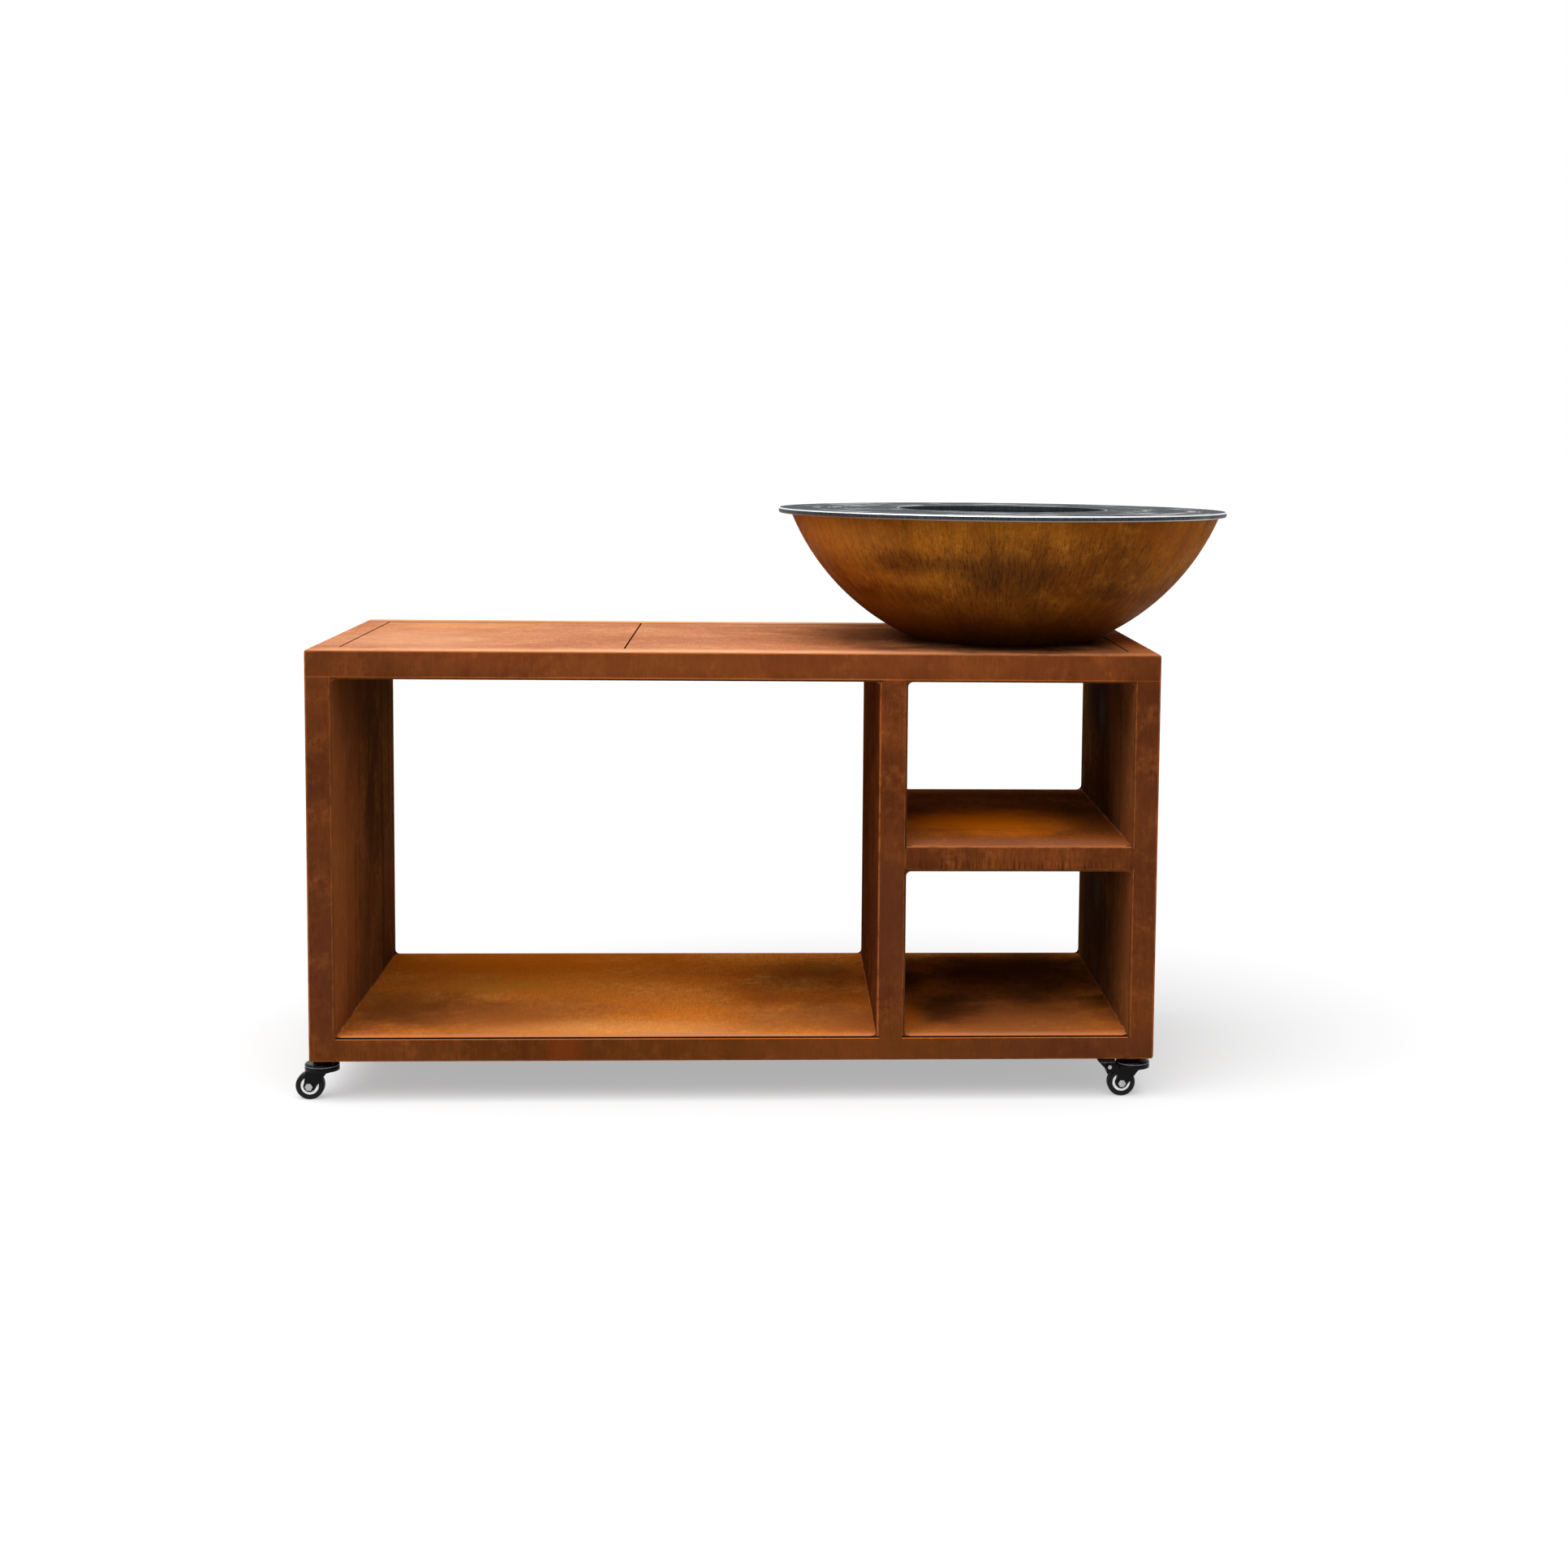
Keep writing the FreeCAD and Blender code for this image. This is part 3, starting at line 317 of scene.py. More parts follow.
LEVEL_CLOUDS = 1.6


def new_material(name):
    """A material with its shader: the material, its sheet, the shader's inputs, the place and the normal."""
    material = bpy.data.materials.new(name)
    material.use_nodes = True
    sheet = NodeSheet(material.node_tree)
    shader = material.node_tree.nodes["Principled BSDF"]
    coordinates = sheet.add("ShaderNodeTexCoord").outputs
    return material, sheet, shader.inputs, coordinates["Object"], coordinates["Normal"]


def bump(sheet, height, distance, strength=0.6):
    """The normal of a surface with a fine relief, its depth given in metres."""
    inputs = {"Strength": strength, "Distance": distance, "Height": height}
    return sheet.add("ShaderNodeBump", inputs).outputs[0]


def dress(node, material):
    """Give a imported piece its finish."""
    slots = frame["nodes"][node].material_slots
    slots[0].material = material


def rust_layer(sheet, place, tone, cloud):
    """The outputs of the rust patina in three tones, with clouds of the given size."""
    tones = {"Deep": tone.deep, "Body": tone.body, "Bright": tone.bright}
    return sheet.group(rust_patina, Vector=place, Cloud_Size=cloud, **tones)


def lay_patches(sheet, place, colour, patches):
    """Lay patches of other tones over a colour."""
    for mark in patches:
        mask = sheet.group(patch, Vector=place, Centre=mark.centre, Reach=mark.reach)["Mask"]
        colour = sheet.mix(sheet.math("MULTIPLY", mask, mark.share), colour, mark.colour)
    return colour


def plate_seams(sheet, place):
    """1 within the opening for the inset plates, where an upright face can only be the wall of a seam."""
    from_middle = sheet.vector("SUBTRACT", place, (plates_low + plates_high) / 2)
    x, y, _ = sheet.split(sheet.vector("ABSOLUTE", from_middle))
    half = (plates_high - plates_low) / 2 + Vector((SEAM_REACH, SEAM_REACH, 0.0))
    return sheet.math("MULTIPLY", sheet.math("LESS_THAN", x, half.x), sheet.math("LESS_THAN", y, half.y))


def sheet_steel(
    node, upright, upward, cloud=FRONT_CLOUD, washed=FRONT_RUNS,
    sheen=0.0, drip_foot=None, marks=(), level_marks=(),
):
    """Finish one sheet in two tones, with edge wear and highlight, runs, stains and painted light and shade.
    """
    material, sheet, shader, place, normal = new_material(node + "_rust")
    side = rust_layer(sheet, place, upright, cloud)
    up = sheet.span(sheet.split(normal)[2], *UP_SPAN)
    run = sheet.group(runs, Vector=place, Width=washed.width, Length=washed.length)["Mask"]
    fine_run = sheet.group(runs, Vector=place, Width=washed.fine_width, Length=washed.fine_length)["Mask"]
    run = sheet.math("MULTIPLY", sheet.math("ADD", run, fine_run), 0.5 * washed.share)
    colour = sheet.mix(run, side["Color"], DARK_RUN)
    if drip_foot is not None:
        near_foot = sheet.span(sheet.split(place)[2], drip_foot + DRIP_REACH, drip_foot)
        colour = sheet.mix(sheet.math("MULTIPLY", near_foot, fine_run), colour, DARK_RUN)
    colour = lay_patches(sheet, place, colour, marks)
    # On the top, the walls of the seams between the plates get a dark painted shade.
    if sheen:
        colour = sheet.mix(plate_seams(sheet, place), colour, GRIME_AND_SHADE.deep)
    if upward is not upright:
        # On a level face the fibres run from front to back, so y and z change places.
        x, y, z = sheet.split(place)
        flat = rust_layer(sheet, sheet.join(x, z, y), upward, LEVEL_CLOUDS * cloud)
        colour = sheet.mix(up, colour, lay_patches(sheet, place, flat["Color"], level_marks))
    # Bends and bevels: edge wear and a painted highlight in one lighter tone.
    worn = sheet.group(wear_and_highlight, Vector=place, Normal=normal)["Mask"]
    colour = sheet.mix(sheet.math("MULTIPLY", worn, EDGE_SHARE), colour, EDGE)
    sheet.feed(shader["Base Color"], colour)
    sheet.feed(shader["Roughness"], side["Roughness"])
    sheet.feed(shader["Normal"], bump(sheet, side["Height"], RUST_BUMP))
    shader["Specular IOR Level"].default_value = 0.0
    if sheen:
        under_bowl = (bowl_axis.x, bowl_axis.y, worktop)
        from_bowl = sheet.vector("LENGTH", sheet.vector("SUBTRACT", place, under_bowl))
        open_sky = sheet.span(from_bowl, *BOWL_SHADE, 0.0, sheen)
        sheet.feed(shader["Coat Weight"], sheet.math("MULTIPLY", up, open_sky))
        shader["Coat Roughness"].default_value = SHEEN_ROUGHNESS
    dress(node, material)


print("tones ready")

# %% [markdown]
# ## Where the stains and the painted light and shade lie
# The stains are large and few, and so are the places of painted light, shade and highlight, so each one is a
# patch with a place, a reach and a tone. They are written as places on the real table: on level sheets by x
# and y, on the fronts by x and z, and on the walls of the bays by y and z.

# %% Stains, painted light and painted shade on the sheets
STAIN = srgb(66, 32, 13)
UMBER = srgb(84, 44, 26)
OLIVE = srgb(90, 48, 14)
RED = srgb(122, 52, 16)
ORANGE = srgb(222, 112, 6)
AMBER = srgb(255, 132, 8)
OCHRE = srgb(206, 128, 38)
PALE = srgb(238, 166, 98)
PINK_HIGHLIGHT = srgb(206, 132, 92)
SHELF_EDGE_HIGHLIGHT = srgb(148, 94, 70)
ROSE = srgb(236, 172, 126)
SOOTY = srgb(60, 48, 40)
GREY_STREAK = srgb(112, 98, 82)
LIT_WALL = srgb(186, 106, 56)
DARK_WALL = srgb(74, 42, 20)
SHADE = srgb(40, 20, 7)
GROOVE = srgb(54, 27, 12)
HEM = srgb(190, 98, 36)
RUSSET = srgb(144, 76, 36)
BROWN = srgb(142, 79, 42)
LEVEL_DEPTH, FRONT_DEPTH, WALL_DEPTH = 0.2, 0.3, 0.1
ALL_ALONG = 9.0
THIN_LINE = 0.003


def level_mark(x, y, z, reach_x, reach_y, colour, share):
    """A patch on a face that looks up: a stain, painted light, painted shade or a painted highlight."""
    return Patch((x, y, z), (reach_x, reach_y, LEVEL_DEPTH), colour, share)


def front_mark(x, z, reach_x, reach_z, colour, share):
    """A stain on a face at the front."""
    return Patch((x, table_front, z), (reach_x, FRONT_DEPTH, reach_z), colour, share)


def wall_mark(x, y, z, reach_y, reach_z, colour, share):
    """A patch on a wall inside a bay: a stain or painted light."""
    return Patch((x, y, z), (WALL_DEPTH, reach_y, reach_z), colour, share)


FRONT_MARKS = (
    front_mark(-0.72, 0.78, 0.22, 0.06, UMBER, 0.35),
    front_mark(-0.80, 0.45, 0.06, 0.45, UMBER, 0.35),
    front_mark(-0.80, 0.20, 0.08, 0.22, UMBER, 0.35),
    front_mark(-0.72, 0.60, 0.06, 0.12, RUSSET, 0.3),
    front_mark(0.12, 0.09, 0.30, 0.05, RUSSET, 0.3),
    front_mark(0.0, 0.785, 0.9, 0.05, RUSSET, 0.4),
    front_mark(-0.10, 0.095, 0.9, 0.05, OLIVE, 0.5),
    front_mark(-0.37, 0.10, 0.04, 0.05, RED, 0.5),
    front_mark(0.55, 0.09, 0.4, 0.06, UMBER, 0.45),
    front_mark(0.66, 0.45, 0.05, 0.45, UMBER, 0.3),
)
DIVIDER_MARK = front_mark((divider_left + divider_right) / 2, 0.33, 0.10, 0.16, UMBER, 0.8)
HEM_MARK = front_mark((left_wall + right_wall) / 2, apron_foot, 0.9, THIN_LINE, HEM, 0.8)
DECK_MARKS = (
    level_mark(-0.56, -0.20, deck_top, 0.36, 0.18, BROWN, 0.7),
    level_mark(-0.685, -0.11, deck_top, 0.17, 0.20, STAIN, 0.5),
    level_mark(-0.56, 0.05, deck_top, 0.16, 0.06, OCHRE, 0.6),
    level_mark(-0.52, 0.25, deck_top, 0.42, 0.15, ORANGE, 0.65),
    level_mark(-0.28, 0.11, deck_top, 0.30, 0.03, ORANGE, 0.3),
    # Along the front of the left bay's deck: painted light from the open front.
    level_mark(-0.28, -0.29, deck_top, 0.28, 0.08, PALE, 0.4),
    level_mark(0.10, -0.22, deck_top, 0.26, 0.16, BROWN, 0.65),
    level_mark(0.06, 0.02, deck_top, 0.20, 0.20, STAIN, 0.35),
    level_mark(0.07, 0.17, deck_top, 0.16, 0.15, STAIN, 0.5),
    level_mark(0.45, -0.22, deck_top, 0.28, 0.30, BROWN, 0.8),
    level_mark(0.47, 0.12, deck_top, 0.26, 0.26, STAIN, 0.75),
    level_mark(0.245, -0.17, deck_top, 0.04, 0.14, ORANGE, 0.5),
    level_mark(0.32, -0.14, deck_top, 0.08, 0.13, STAIN, 0.75),
    level_mark(0.24, 0.11, deck_top, 0.07, 0.11, STAIN, 0.75),
    level_mark(0.68, -0.12, deck_top, 0.12, 0.20, STAIN, 0.65),
    level_mark(0.47, 0.26, deck_top, 0.25, 0.18, STAIN, 0.7),
    # Along the deck's front edge: a painted highlight.
    level_mark(0.0, table_front, deck_top, ALL_ALONG, 0.03, PINK_HIGHLIGHT, 0.7),
)
SHELF_MARKS = (
    level_mark(0.265, 0.00, shelf_top, 0.06, 0.11, STAIN, 0.8),
    level_mark(0.39, -0.07, shelf_top, 0.20, 0.18, AMBER, 0.95),
    level_mark(0.48, 0.29, shelf_top, 0.27, 0.13, STAIN, 0.6),
    level_mark(0.60, -0.05, shelf_top, 0.08, 0.25, STAIN, 0.5),
    # Along the shelf's front bend: a painted highlight.
    level_mark(0.43, table_front, shelf_top, 0.5, 0.09, SHELF_EDGE_HIGHLIGHT, 0.6),
)
TOP_MARKS = (
    # Along the front edge of the top: a pale painted sheen.
    level_mark(-0.20, table_front, worktop, 0.9, 0.07, ROSE, 0.85),
    # On the left of the lid, towards the back: painted light from the left.
    level_mark(-0.66, -0.12, worktop, 0.17, 0.26, ROSE, 0.4),
    level_mark(-0.62, 0.19, worktop, 0.18, 0.11, PALE, 0.35),
    level_mark(-0.30, table_back, worktop, 0.8, 0.09, PALE, 0.65),
    level_mark(0.0, plates_high.y, worktop, ALL_ALONG, 0.015, UMBER, 0.6),
    # Around the bowl: a dark stain together with painted shade of the bowl.
    level_mark(bowl_axis.x, bowl_axis.y, worktop, 0.46, 0.46, UMBER, 0.55),
    # In front of the bowl's foot: a painted shadow of the bowl.
    level_mark(bowl_axis.x, bowl_axis.y - 0.15, worktop, 0.29, 0.27, SHADE, 1.0),
    # Right of the bowl: painted light over the bowl's shade.
    level_mark(0.67, -0.16, worktop, 0.07, 0.26, LIT_WALL, 0.8),
)
WALL_MARKS = (
    # Towards the front of the left wall: painted light from the open front.
    wall_mark(left_wall, table_front, 0.40, 0.35, 0.70, LIT_WALL, 0.5),
    wall_mark(left_wall, 0.05, 0.76, 0.50, 0.18, DARK_WALL, 0.7),
    # Towards the front of the right wall: painted light from the open front.
    wall_mark(right_wall, table_front, 0.40, 0.20, 0.60, LIT_WALL, 0.3),
    wall_mark(right_wall, 0.10, 0.67, 0.20, 0.11, SOOTY, 0.8),
    wall_mark(right_wall, 0.12, 0.26, 0.20, 0.13, SOOTY, 0.6),
    wall_mark(right_wall, 0.06, 0.66, 0.05, 0.06, GREY_STREAK, 0.4),
    wall_mark(right_wall, 0.08, 0.30, 0.06, 0.05, GREY_STREAK, 0.4),
)
GROOVES = tuple(
    Patch((0.0, edge, 0.4), (ALL_ALONG, THIN_LINE, ALL_ALONG), GROOVE, 0.75)
    for edge in (table_front, table_back)
)
print("stains:", len(FRONT_MARKS + DECK_MARKS + SHELF_MARKS + TOP_MARKS + WALL_MARKS))

# %% [markdown]
# ## Each sheet in its tones
# The shells show their outside and take the tones of the fronts. The liners face into the bays and carry long
# runs; towards the open front of each bay they get painted light. Ledges and bearers lie hidden under the
# plates and get a nearly black painted shade, as do the walls of the seams between the plates. One material
# could serve all sheets, but each has other stains, so each gets its own.

# %% Finish the sheets of the table
TOP_SHEEN = 0.6
for name in ("top_tray", "worktop_lid", "bowl_plate"):
    sheet_steel(name, FRONT, TOP, sheen=TOP_SHEEN, marks=FRONT_MARKS + (HEM_MARK,), level_marks=TOP_MARKS)
for name in ("left_side_shell", "right_side_shell", "corner_welds", "joint_welds"):
    sheet_steel(name, FRONT, FRONT, marks=FRONT_MARKS)
for name in ("left_side_liner", "right_side_liner", "divider_liner", "top_soffit", "shelf_soffit"):
    sheet_steel(name, WALL, WALL, cloud=BROAD_CLOUD, washed=WALL_RUNS, marks=WALL_MARKS + GROOVES)
# Under the plates: a nearly black painted shade.
for name in ("plate_ledges", "cross_bearers"):
    sheet_steel(name, GRIME_AND_SHADE, GRIME_AND_SHADE)
sheet_steel("divider_shell", FRONT, FRONT, marks=FRONT_MARKS + (DIVIDER_MARK,))
sheet_steel("base_shell", FRONT, DECK, marks=FRONT_MARKS)
sheet_steel("base_deck", GRIME_AND_SHADE, DECK, cloud=BROAD_CLOUD, level_marks=DECK_MARKS)
sheet_steel(
    "shelf_shell", FRONT, SHELF, cloud=SHELF_CLOUD, drip_foot=shelf_foot,
    marks=FRONT_MARKS, level_marks=SHELF_MARKS,
)
print("sheets finished:", sum(1 for m in bpy.data.materials if m.name.endswith("_rust")))

# %% [markdown]
# ## The fire bowl
# The bowl is spun steel, so rain runs from the rim down its round side and the streaks follow it. Its upper
# half is ochre, a dark belt lies across the middle, and the foot is dark. Streaks on a round side could be
# painted on a map, but a map has a seam. The direction from the bowl's axis has none: noise that changes
# fast with that direction and slowly with height gives the streaks.

# %% Finish the bowl
BOWL = Tone(srgb(140, 75, 16), srgb(171, 100, 26), srgb(190, 119, 42))
BOWL_DARK = srgb(60, 33, 14)
BOWL_BROWN = srgb(84, 44, 17)
BOWL_FOOT = srgb(92, 45, 7)
BOWL_RED = srgb(150, 72, 20)
BOWL_PALE = srgb(204, 132, 54)
SOOT = srgb(38, 33, 30)
Streaks = namedtuple("Streaks", "fineness along low high")
FINE_STREAKS = Streaks(130.0, 3.0, 0.45, 0.65)
BROAD_STREAKS = Streaks(9.0, 1.6, 0.46, 0.7)
STROKES = Streaks(120.0, 16.0, 0.52, 0.62)
FINE_SHARE, BROAD_SHARE = 0.22, 0.25
BRUSHED_FINE, BRUSHED_STROKES = 0.3, 0.4
MARK_EVEN, MARK_BRUSHED = 0.7, 0.5
STROKE_HEIGHTS, STROKE_SHARE = (0.98, 0.75), (0.12, 0.45)
FOOT_HEIGHTS, FOOT_SHARE = (0.62, 0.08), (0.0, 0.72)
INSIDE_SLOPE, SOOT_RELIEF, SOOT_SHARE = (-0.05, 0.25), (0.5, 1.2), (0.75, 0.95)
BOWL_ROUGHNESS = (0.55, 0.8)
BOWL_CLOUD = 0.14
MARK_FORWARD, MARK_DEPTH = 0.3, 0.6
bowl_height = bowl_high.z - bowl_low.z


def bowl_mark(x, z, reach_x, reach_z, colour, share):
    """A patch on the front half of the bowl, by its place as seen from the front."""
    return Patch((x, bowl_axis.y - MARK_FORWARD, z), (reach_x, MARK_DEPTH, reach_z), colour, share)


BOWL_MARKS = (
    # Upper left of the bowl: painted light from the left.
    bowl_mark(0.10, 1.000, 0.13, 0.050, BOWL_PALE, 0.6),
    bowl_mark(0.72, 1.000, 0.07, 0.050, BOWL_RED, 0.5),
    bowl_mark(0.57, 0.950, 0.12, 0.070, BOWL_DARK, 0.5),
    bowl_mark(0.42, 0.935, 0.13, 0.085, BOWL_BROWN, 0.9),
    bowl_mark(0.40, 0.945, 0.10, 0.050, BOWL_DARK, 0.4),
    bowl_mark(0.27, 0.962, 0.17, 0.026, BOWL_BROWN, 0.85),
    bowl_mark(0.245, 0.928, 0.06, 0.012, BOWL_PALE, 0.35),
    bowl_mark(0.17, 0.905, 0.05, 0.020, BOWL_DARK, 0.5),
    bowl_mark(0.27, 0.895, 0.07, 0.020, BOWL_DARK, 0.45),
    bowl_mark(0.60, 0.905, 0.08, 0.020, BOWL_DARK, 0.5),
)


def bowl_steel():
    material, sheet, shader, place, normal = new_material("bowl_rust")
    from_axis = sheet.vector("SUBTRACT", place, (bowl_axis.x, bowl_axis.y, bowl_low.z))
    x, y, z = sheet.split(from_axis)
    share = sheet.math("DIVIDE", z, bowl_height)
    way_x, way_y, _ = sheet.split(sheet.vector("NORMALIZE", sheet.join(x, y, 0.0)))

    def streaks(kind):
        squeezed = sheet.join(
            sheet.math("MULTIPLY", way_x, kind.fineness),
            sheet.math("MULTIPLY", way_y, kind.fineness),
            sheet.math("MULTIPLY", share, kind.along),
        )
        return sheet.span(sheet.noise(squeezed, 1.0, detail=3.0, roughness=0.6), kind.low, kind.high)

    skin = rust_layer(sheet, place, BOWL, BOWL_CLOUD)
    fine, broad, strokes = streaks(FINE_STREAKS), streaks(BROAD_STREAKS), streaks(STROKES)
    colour = sheet.mix(sheet.math("MULTIPLY", broad, BROAD_SHARE), skin["Color"], BOWL_DARK)
    brushed_fine = sheet.math("MULTIPLY", fine, BRUSHED_FINE)
    brushed = sheet.math("ADD", brushed_fine, sheet.math("MULTIPLY", strokes, BRUSHED_STROKES))
    for mark in BOWL_MARKS:
        mask = sheet.group(patch, Vector=place, Centre=mark.centre, Reach=mark.reach)["Mask"]
        streaky = sheet.math("MULTIPLY", brushed, MARK_BRUSHED * mark.share)
        strength = sheet.math("ADD", MARK_EVEN * mark.share, streaky)
        colour = sheet.mix(sheet.math("MULTIPLY", mask, strength), colour, mark.colour)
    side_strokes = sheet.math("MULTIPLY", strokes, sheet.span(share, *STROKE_HEIGHTS, *STROKE_SHARE))
    colour = sheet.mix(sheet.math("MULTIPLY", fine, FINE_SHARE), colour, BOWL_DARK)
    colour = sheet.mix(side_strokes, colour, BOWL_DARK)
    colour = sheet.mix(sheet.span(share, *FOOT_HEIGHTS, *FOOT_SHARE), colour, BOWL_FOOT)
    inner = sheet.span(sheet.split(normal)[2], *INSIDE_SLOPE)
    soot = sheet.math("MULTIPLY", inner, sheet.span(skin["Height"], *SOOT_RELIEF, *SOOT_SHARE))
    colour = sheet.mix(soot, colour, SOOT)
    sheet.feed(shader["Base Color"], colour)
    sheet.feed(shader["Roughness"], sheet.span(skin["Roughness"], *RUST_ROUGHNESS, *BOWL_ROUGHNESS))
    sheet.feed(shader["Normal"], bump(sheet, skin["Height"], RUST_BUMP))
    shader["Specular IOR Level"].default_value = 0.02
    dress("fire_bowl", material)


bowl_steel()
print("bowl finished, height", round(bowl_height, 3))

# %% [markdown]
# ## The griddle
# The griddle is a thick ring plate. Its cooking face wears a black skin of burnt-in oil with rubbed rings
# in it, its rim is bare turned steel, and its edges are polished bright. One material does all three: the
# way a face looks tells the cooking face, the rim and the bevelled edges apart, and the distance from the
# axis gives the rings.

# %% Finish the griddle
GRIDDLE_BLACK = srgb(24, 27, 33)
GRIDDLE_RUBBED = srgb(56, 60, 68)
RIM_STEEL = srgb(76, 77, 81)
RIM_DARK = srgb(42, 42, 45)
LOW_EDGE_STEEL = srgb(150, 148, 147)
EDGE_STEEL = srgb(226, 228, 231)
LIP_WIDTH = 0.003
RINGS_PER_METRE, RING_NOISE, SMEARS_PER_METRE = 40.0, 1.7, 7.0
RING_SPAN, SMEAR_SPAN = (0.46, 0.6), (0.4, 0.6)
FACE_SLOPE, TOP_EDGE_SLOPE, LOW_EDGE_SLOPE = (0.85, 0.95), (0.2, 0.45), (-0.2, -0.45)
TURNING_MARKS, TURNING_SPAN = 300.0, (0.35, 0.6)
FILM_ROUGHNESS = (0.55, 0.16)
PLATE_GRAIN_PER_METRE, PLATE_BUMP = 260.0, 0.0002
hole_radius = frame["record"]["mounts"][1]["dims"]["r_mm"] * MILLIMETRE


def griddle_steel():
    material, sheet, shader, place, normal = new_material("griddle_oiled")
    x, y, _ = sheet.split(sheet.vector("SUBTRACT", place, (ring_axis.x, ring_axis.y, ring_low.z)))
    flat_way = sheet.join(x, y, 0.0)
    radius = sheet.vector("LENGTH", flat_way)
    way_x, way_y, _ = sheet.split(sheet.vector("NORMALIZE", flat_way))
    turning = sheet.join(way_x, way_y, sheet.math("MULTIPLY", radius, RINGS_PER_METRE))
    rings = sheet.noise(turning, RING_NOISE, detail=4.0, roughness=0.6, distortion=0.5)
    smears = sheet.noise(place, SMEARS_PER_METRE, detail=5.0, roughness=0.6, distortion=0.8)
    film = sheet.math("MULTIPLY", sheet.span(rings, *RING_SPAN), sheet.span(smears, *SMEAR_SPAN))
    looks_up = sheet.split(normal)[2]
    face = sheet.span(sheet.math("ABSOLUTE", looks_up), *FACE_SLOPE)
    not_face = sheet.math("SUBTRACT", 1.0, face)
    top_edge = sheet.math("MULTIPLY", sheet.span(looks_up, *TOP_EDGE_SLOPE), not_face)
    lip = sheet.math("MULTIPLY", sheet.span(radius, hole_radius + LIP_WIDTH, hole_radius), face)
    bright = sheet.math("MAXIMUM", top_edge, lip)
    low_edge = sheet.math("MULTIPLY", sheet.span(looks_up, *LOW_EDGE_SLOPE), not_face)
    turned = sheet.join(
        sheet.math("MULTIPLY", way_x, TURNING_MARKS), sheet.math("MULTIPLY", way_y, TURNING_MARKS), 0.0
    )
    tooled = sheet.span(sheet.noise(turned, 1.0, detail=4.0, roughness=0.7), *TURNING_SPAN)
    rim = sheet.mix(tooled, RIM_STEEL, RIM_DARK)
    rim = sheet.mix(low_edge, rim, LOW_EDGE_STEEL)
    colour = sheet.mix(face, rim, sheet.mix(film, GRIDDLE_BLACK, GRIDDLE_RUBBED))
    colour = sheet.mix(bright, colour, EDGE_STEEL)
    sheet.feed(shader["Base Color"], colour)
    sheet.feed(shader["Metallic"], sheet.math("MAXIMUM", not_face, bright))
    sheet.feed(shader["Roughness"], sheet.span(film, 0.0, 1.0, *FILM_ROUGHNESS))
    relief = sheet.math("ADD", rings, sheet.noise(place, PLATE_GRAIN_PER_METRE, detail=2.0))
    sheet.feed(shader["Normal"], bump(sheet, relief, PLATE_BUMP, strength=0.3))
    shader["Specular IOR Level"].default_value = 0.1
    for node in ("griddle_ring", "griddle_lugs"):
        dress(node, material)


griddle_steel()
print("griddle finished, fire hole radius", hole_radius)

# %% [markdown]
# ## The casters
# The forks, cups and pedals are pressed steel in gloss black, the tyres are black rubber, the wheel centres
# are bright and the bolts are zinc plated. Small parts need small marks: fine scratches, a little dust on
# what looks up, scuffs on the tread, a grain on the zinc and a thin painted highlight along the cup's foot.

# %% Finish the casters
GLOSS_BLACK = srgb(8, 8, 9)
SCRATCH = srgb(40, 40, 42)
PAINTED_HIGHLIGHT = srgb(128, 128, 140)
DUST = srgb(120, 108, 96)
TYRE_BLACK = srgb(13, 13, 13)
TYRE_SCUFF = srgb(36, 35, 34)
BRIGHT = srgb(232, 233, 235)
BRIGHT_DULL = srgb(196, 198, 201)
ZINC = srgb(186, 188, 190)
ZINC_DULL = srgb(140, 142, 144)
NYLON = srgb(34, 34, 35)
NYLON_WORN = srgb(74, 72, 70)
RING_INSIDE, RING_OUTSIDE, RING_EDGE = 0.011, 0.016, 0.0005
LINE_HALF = 0.0011
SCRATCHES_PER_METRE = (900.0, 140.0, 240.0)
SCRATCH_SPAN, LINE_SPAN = (0.66, 0.76), (0.4, 0.55)
SCRATCH_SHARE, PAINT_DUST = 0.5, 0.06
PAINT_ROUGHNESS, SCRATCH_HAZE, DUST_HAZE = 0.22, 0.25, 0.3
PEEL_PER_METRE, SCUFFS_PER_METRE, RUBBER_PER_METRE = 420.0, 240.0, 900.0
SCUFF_SPAN, SCUFF_SHARE, TYRE_DUST, TYRE_ROUGHNESS = (0.5, 0.72), 0.6, 0.25, (0.48, 0.72)
ZINC_PER_METRE, CENTRE_PER_METRE, NYLON_PER_METRE = 700.0, 350.0, 300.0
SPOT_SPAN, NYLON_SPAN = (0.4, 0.65), (0.45, 0.7)
ZINC_ROUGHNESS, CENTRE_ROUGHNESS, NYLON_ROUGHNESS = (0.3, 0.45), (0.2, 0.34), (0.4, 0.65)
FINE_BUMP, PLATING_BUMP = 0.0001, 0.00005
hub_places = [(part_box(corner + "_hub")[0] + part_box(corner + "_hub")[1]) / 2 for corner in CORNERS]
hub_middle = (hub_places[0].x + hub_places[1].x) / 2
hub_spread = (hub_places[1].x - hub_places[0].x) / 2
cup_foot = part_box("front_left_cup")[0].z


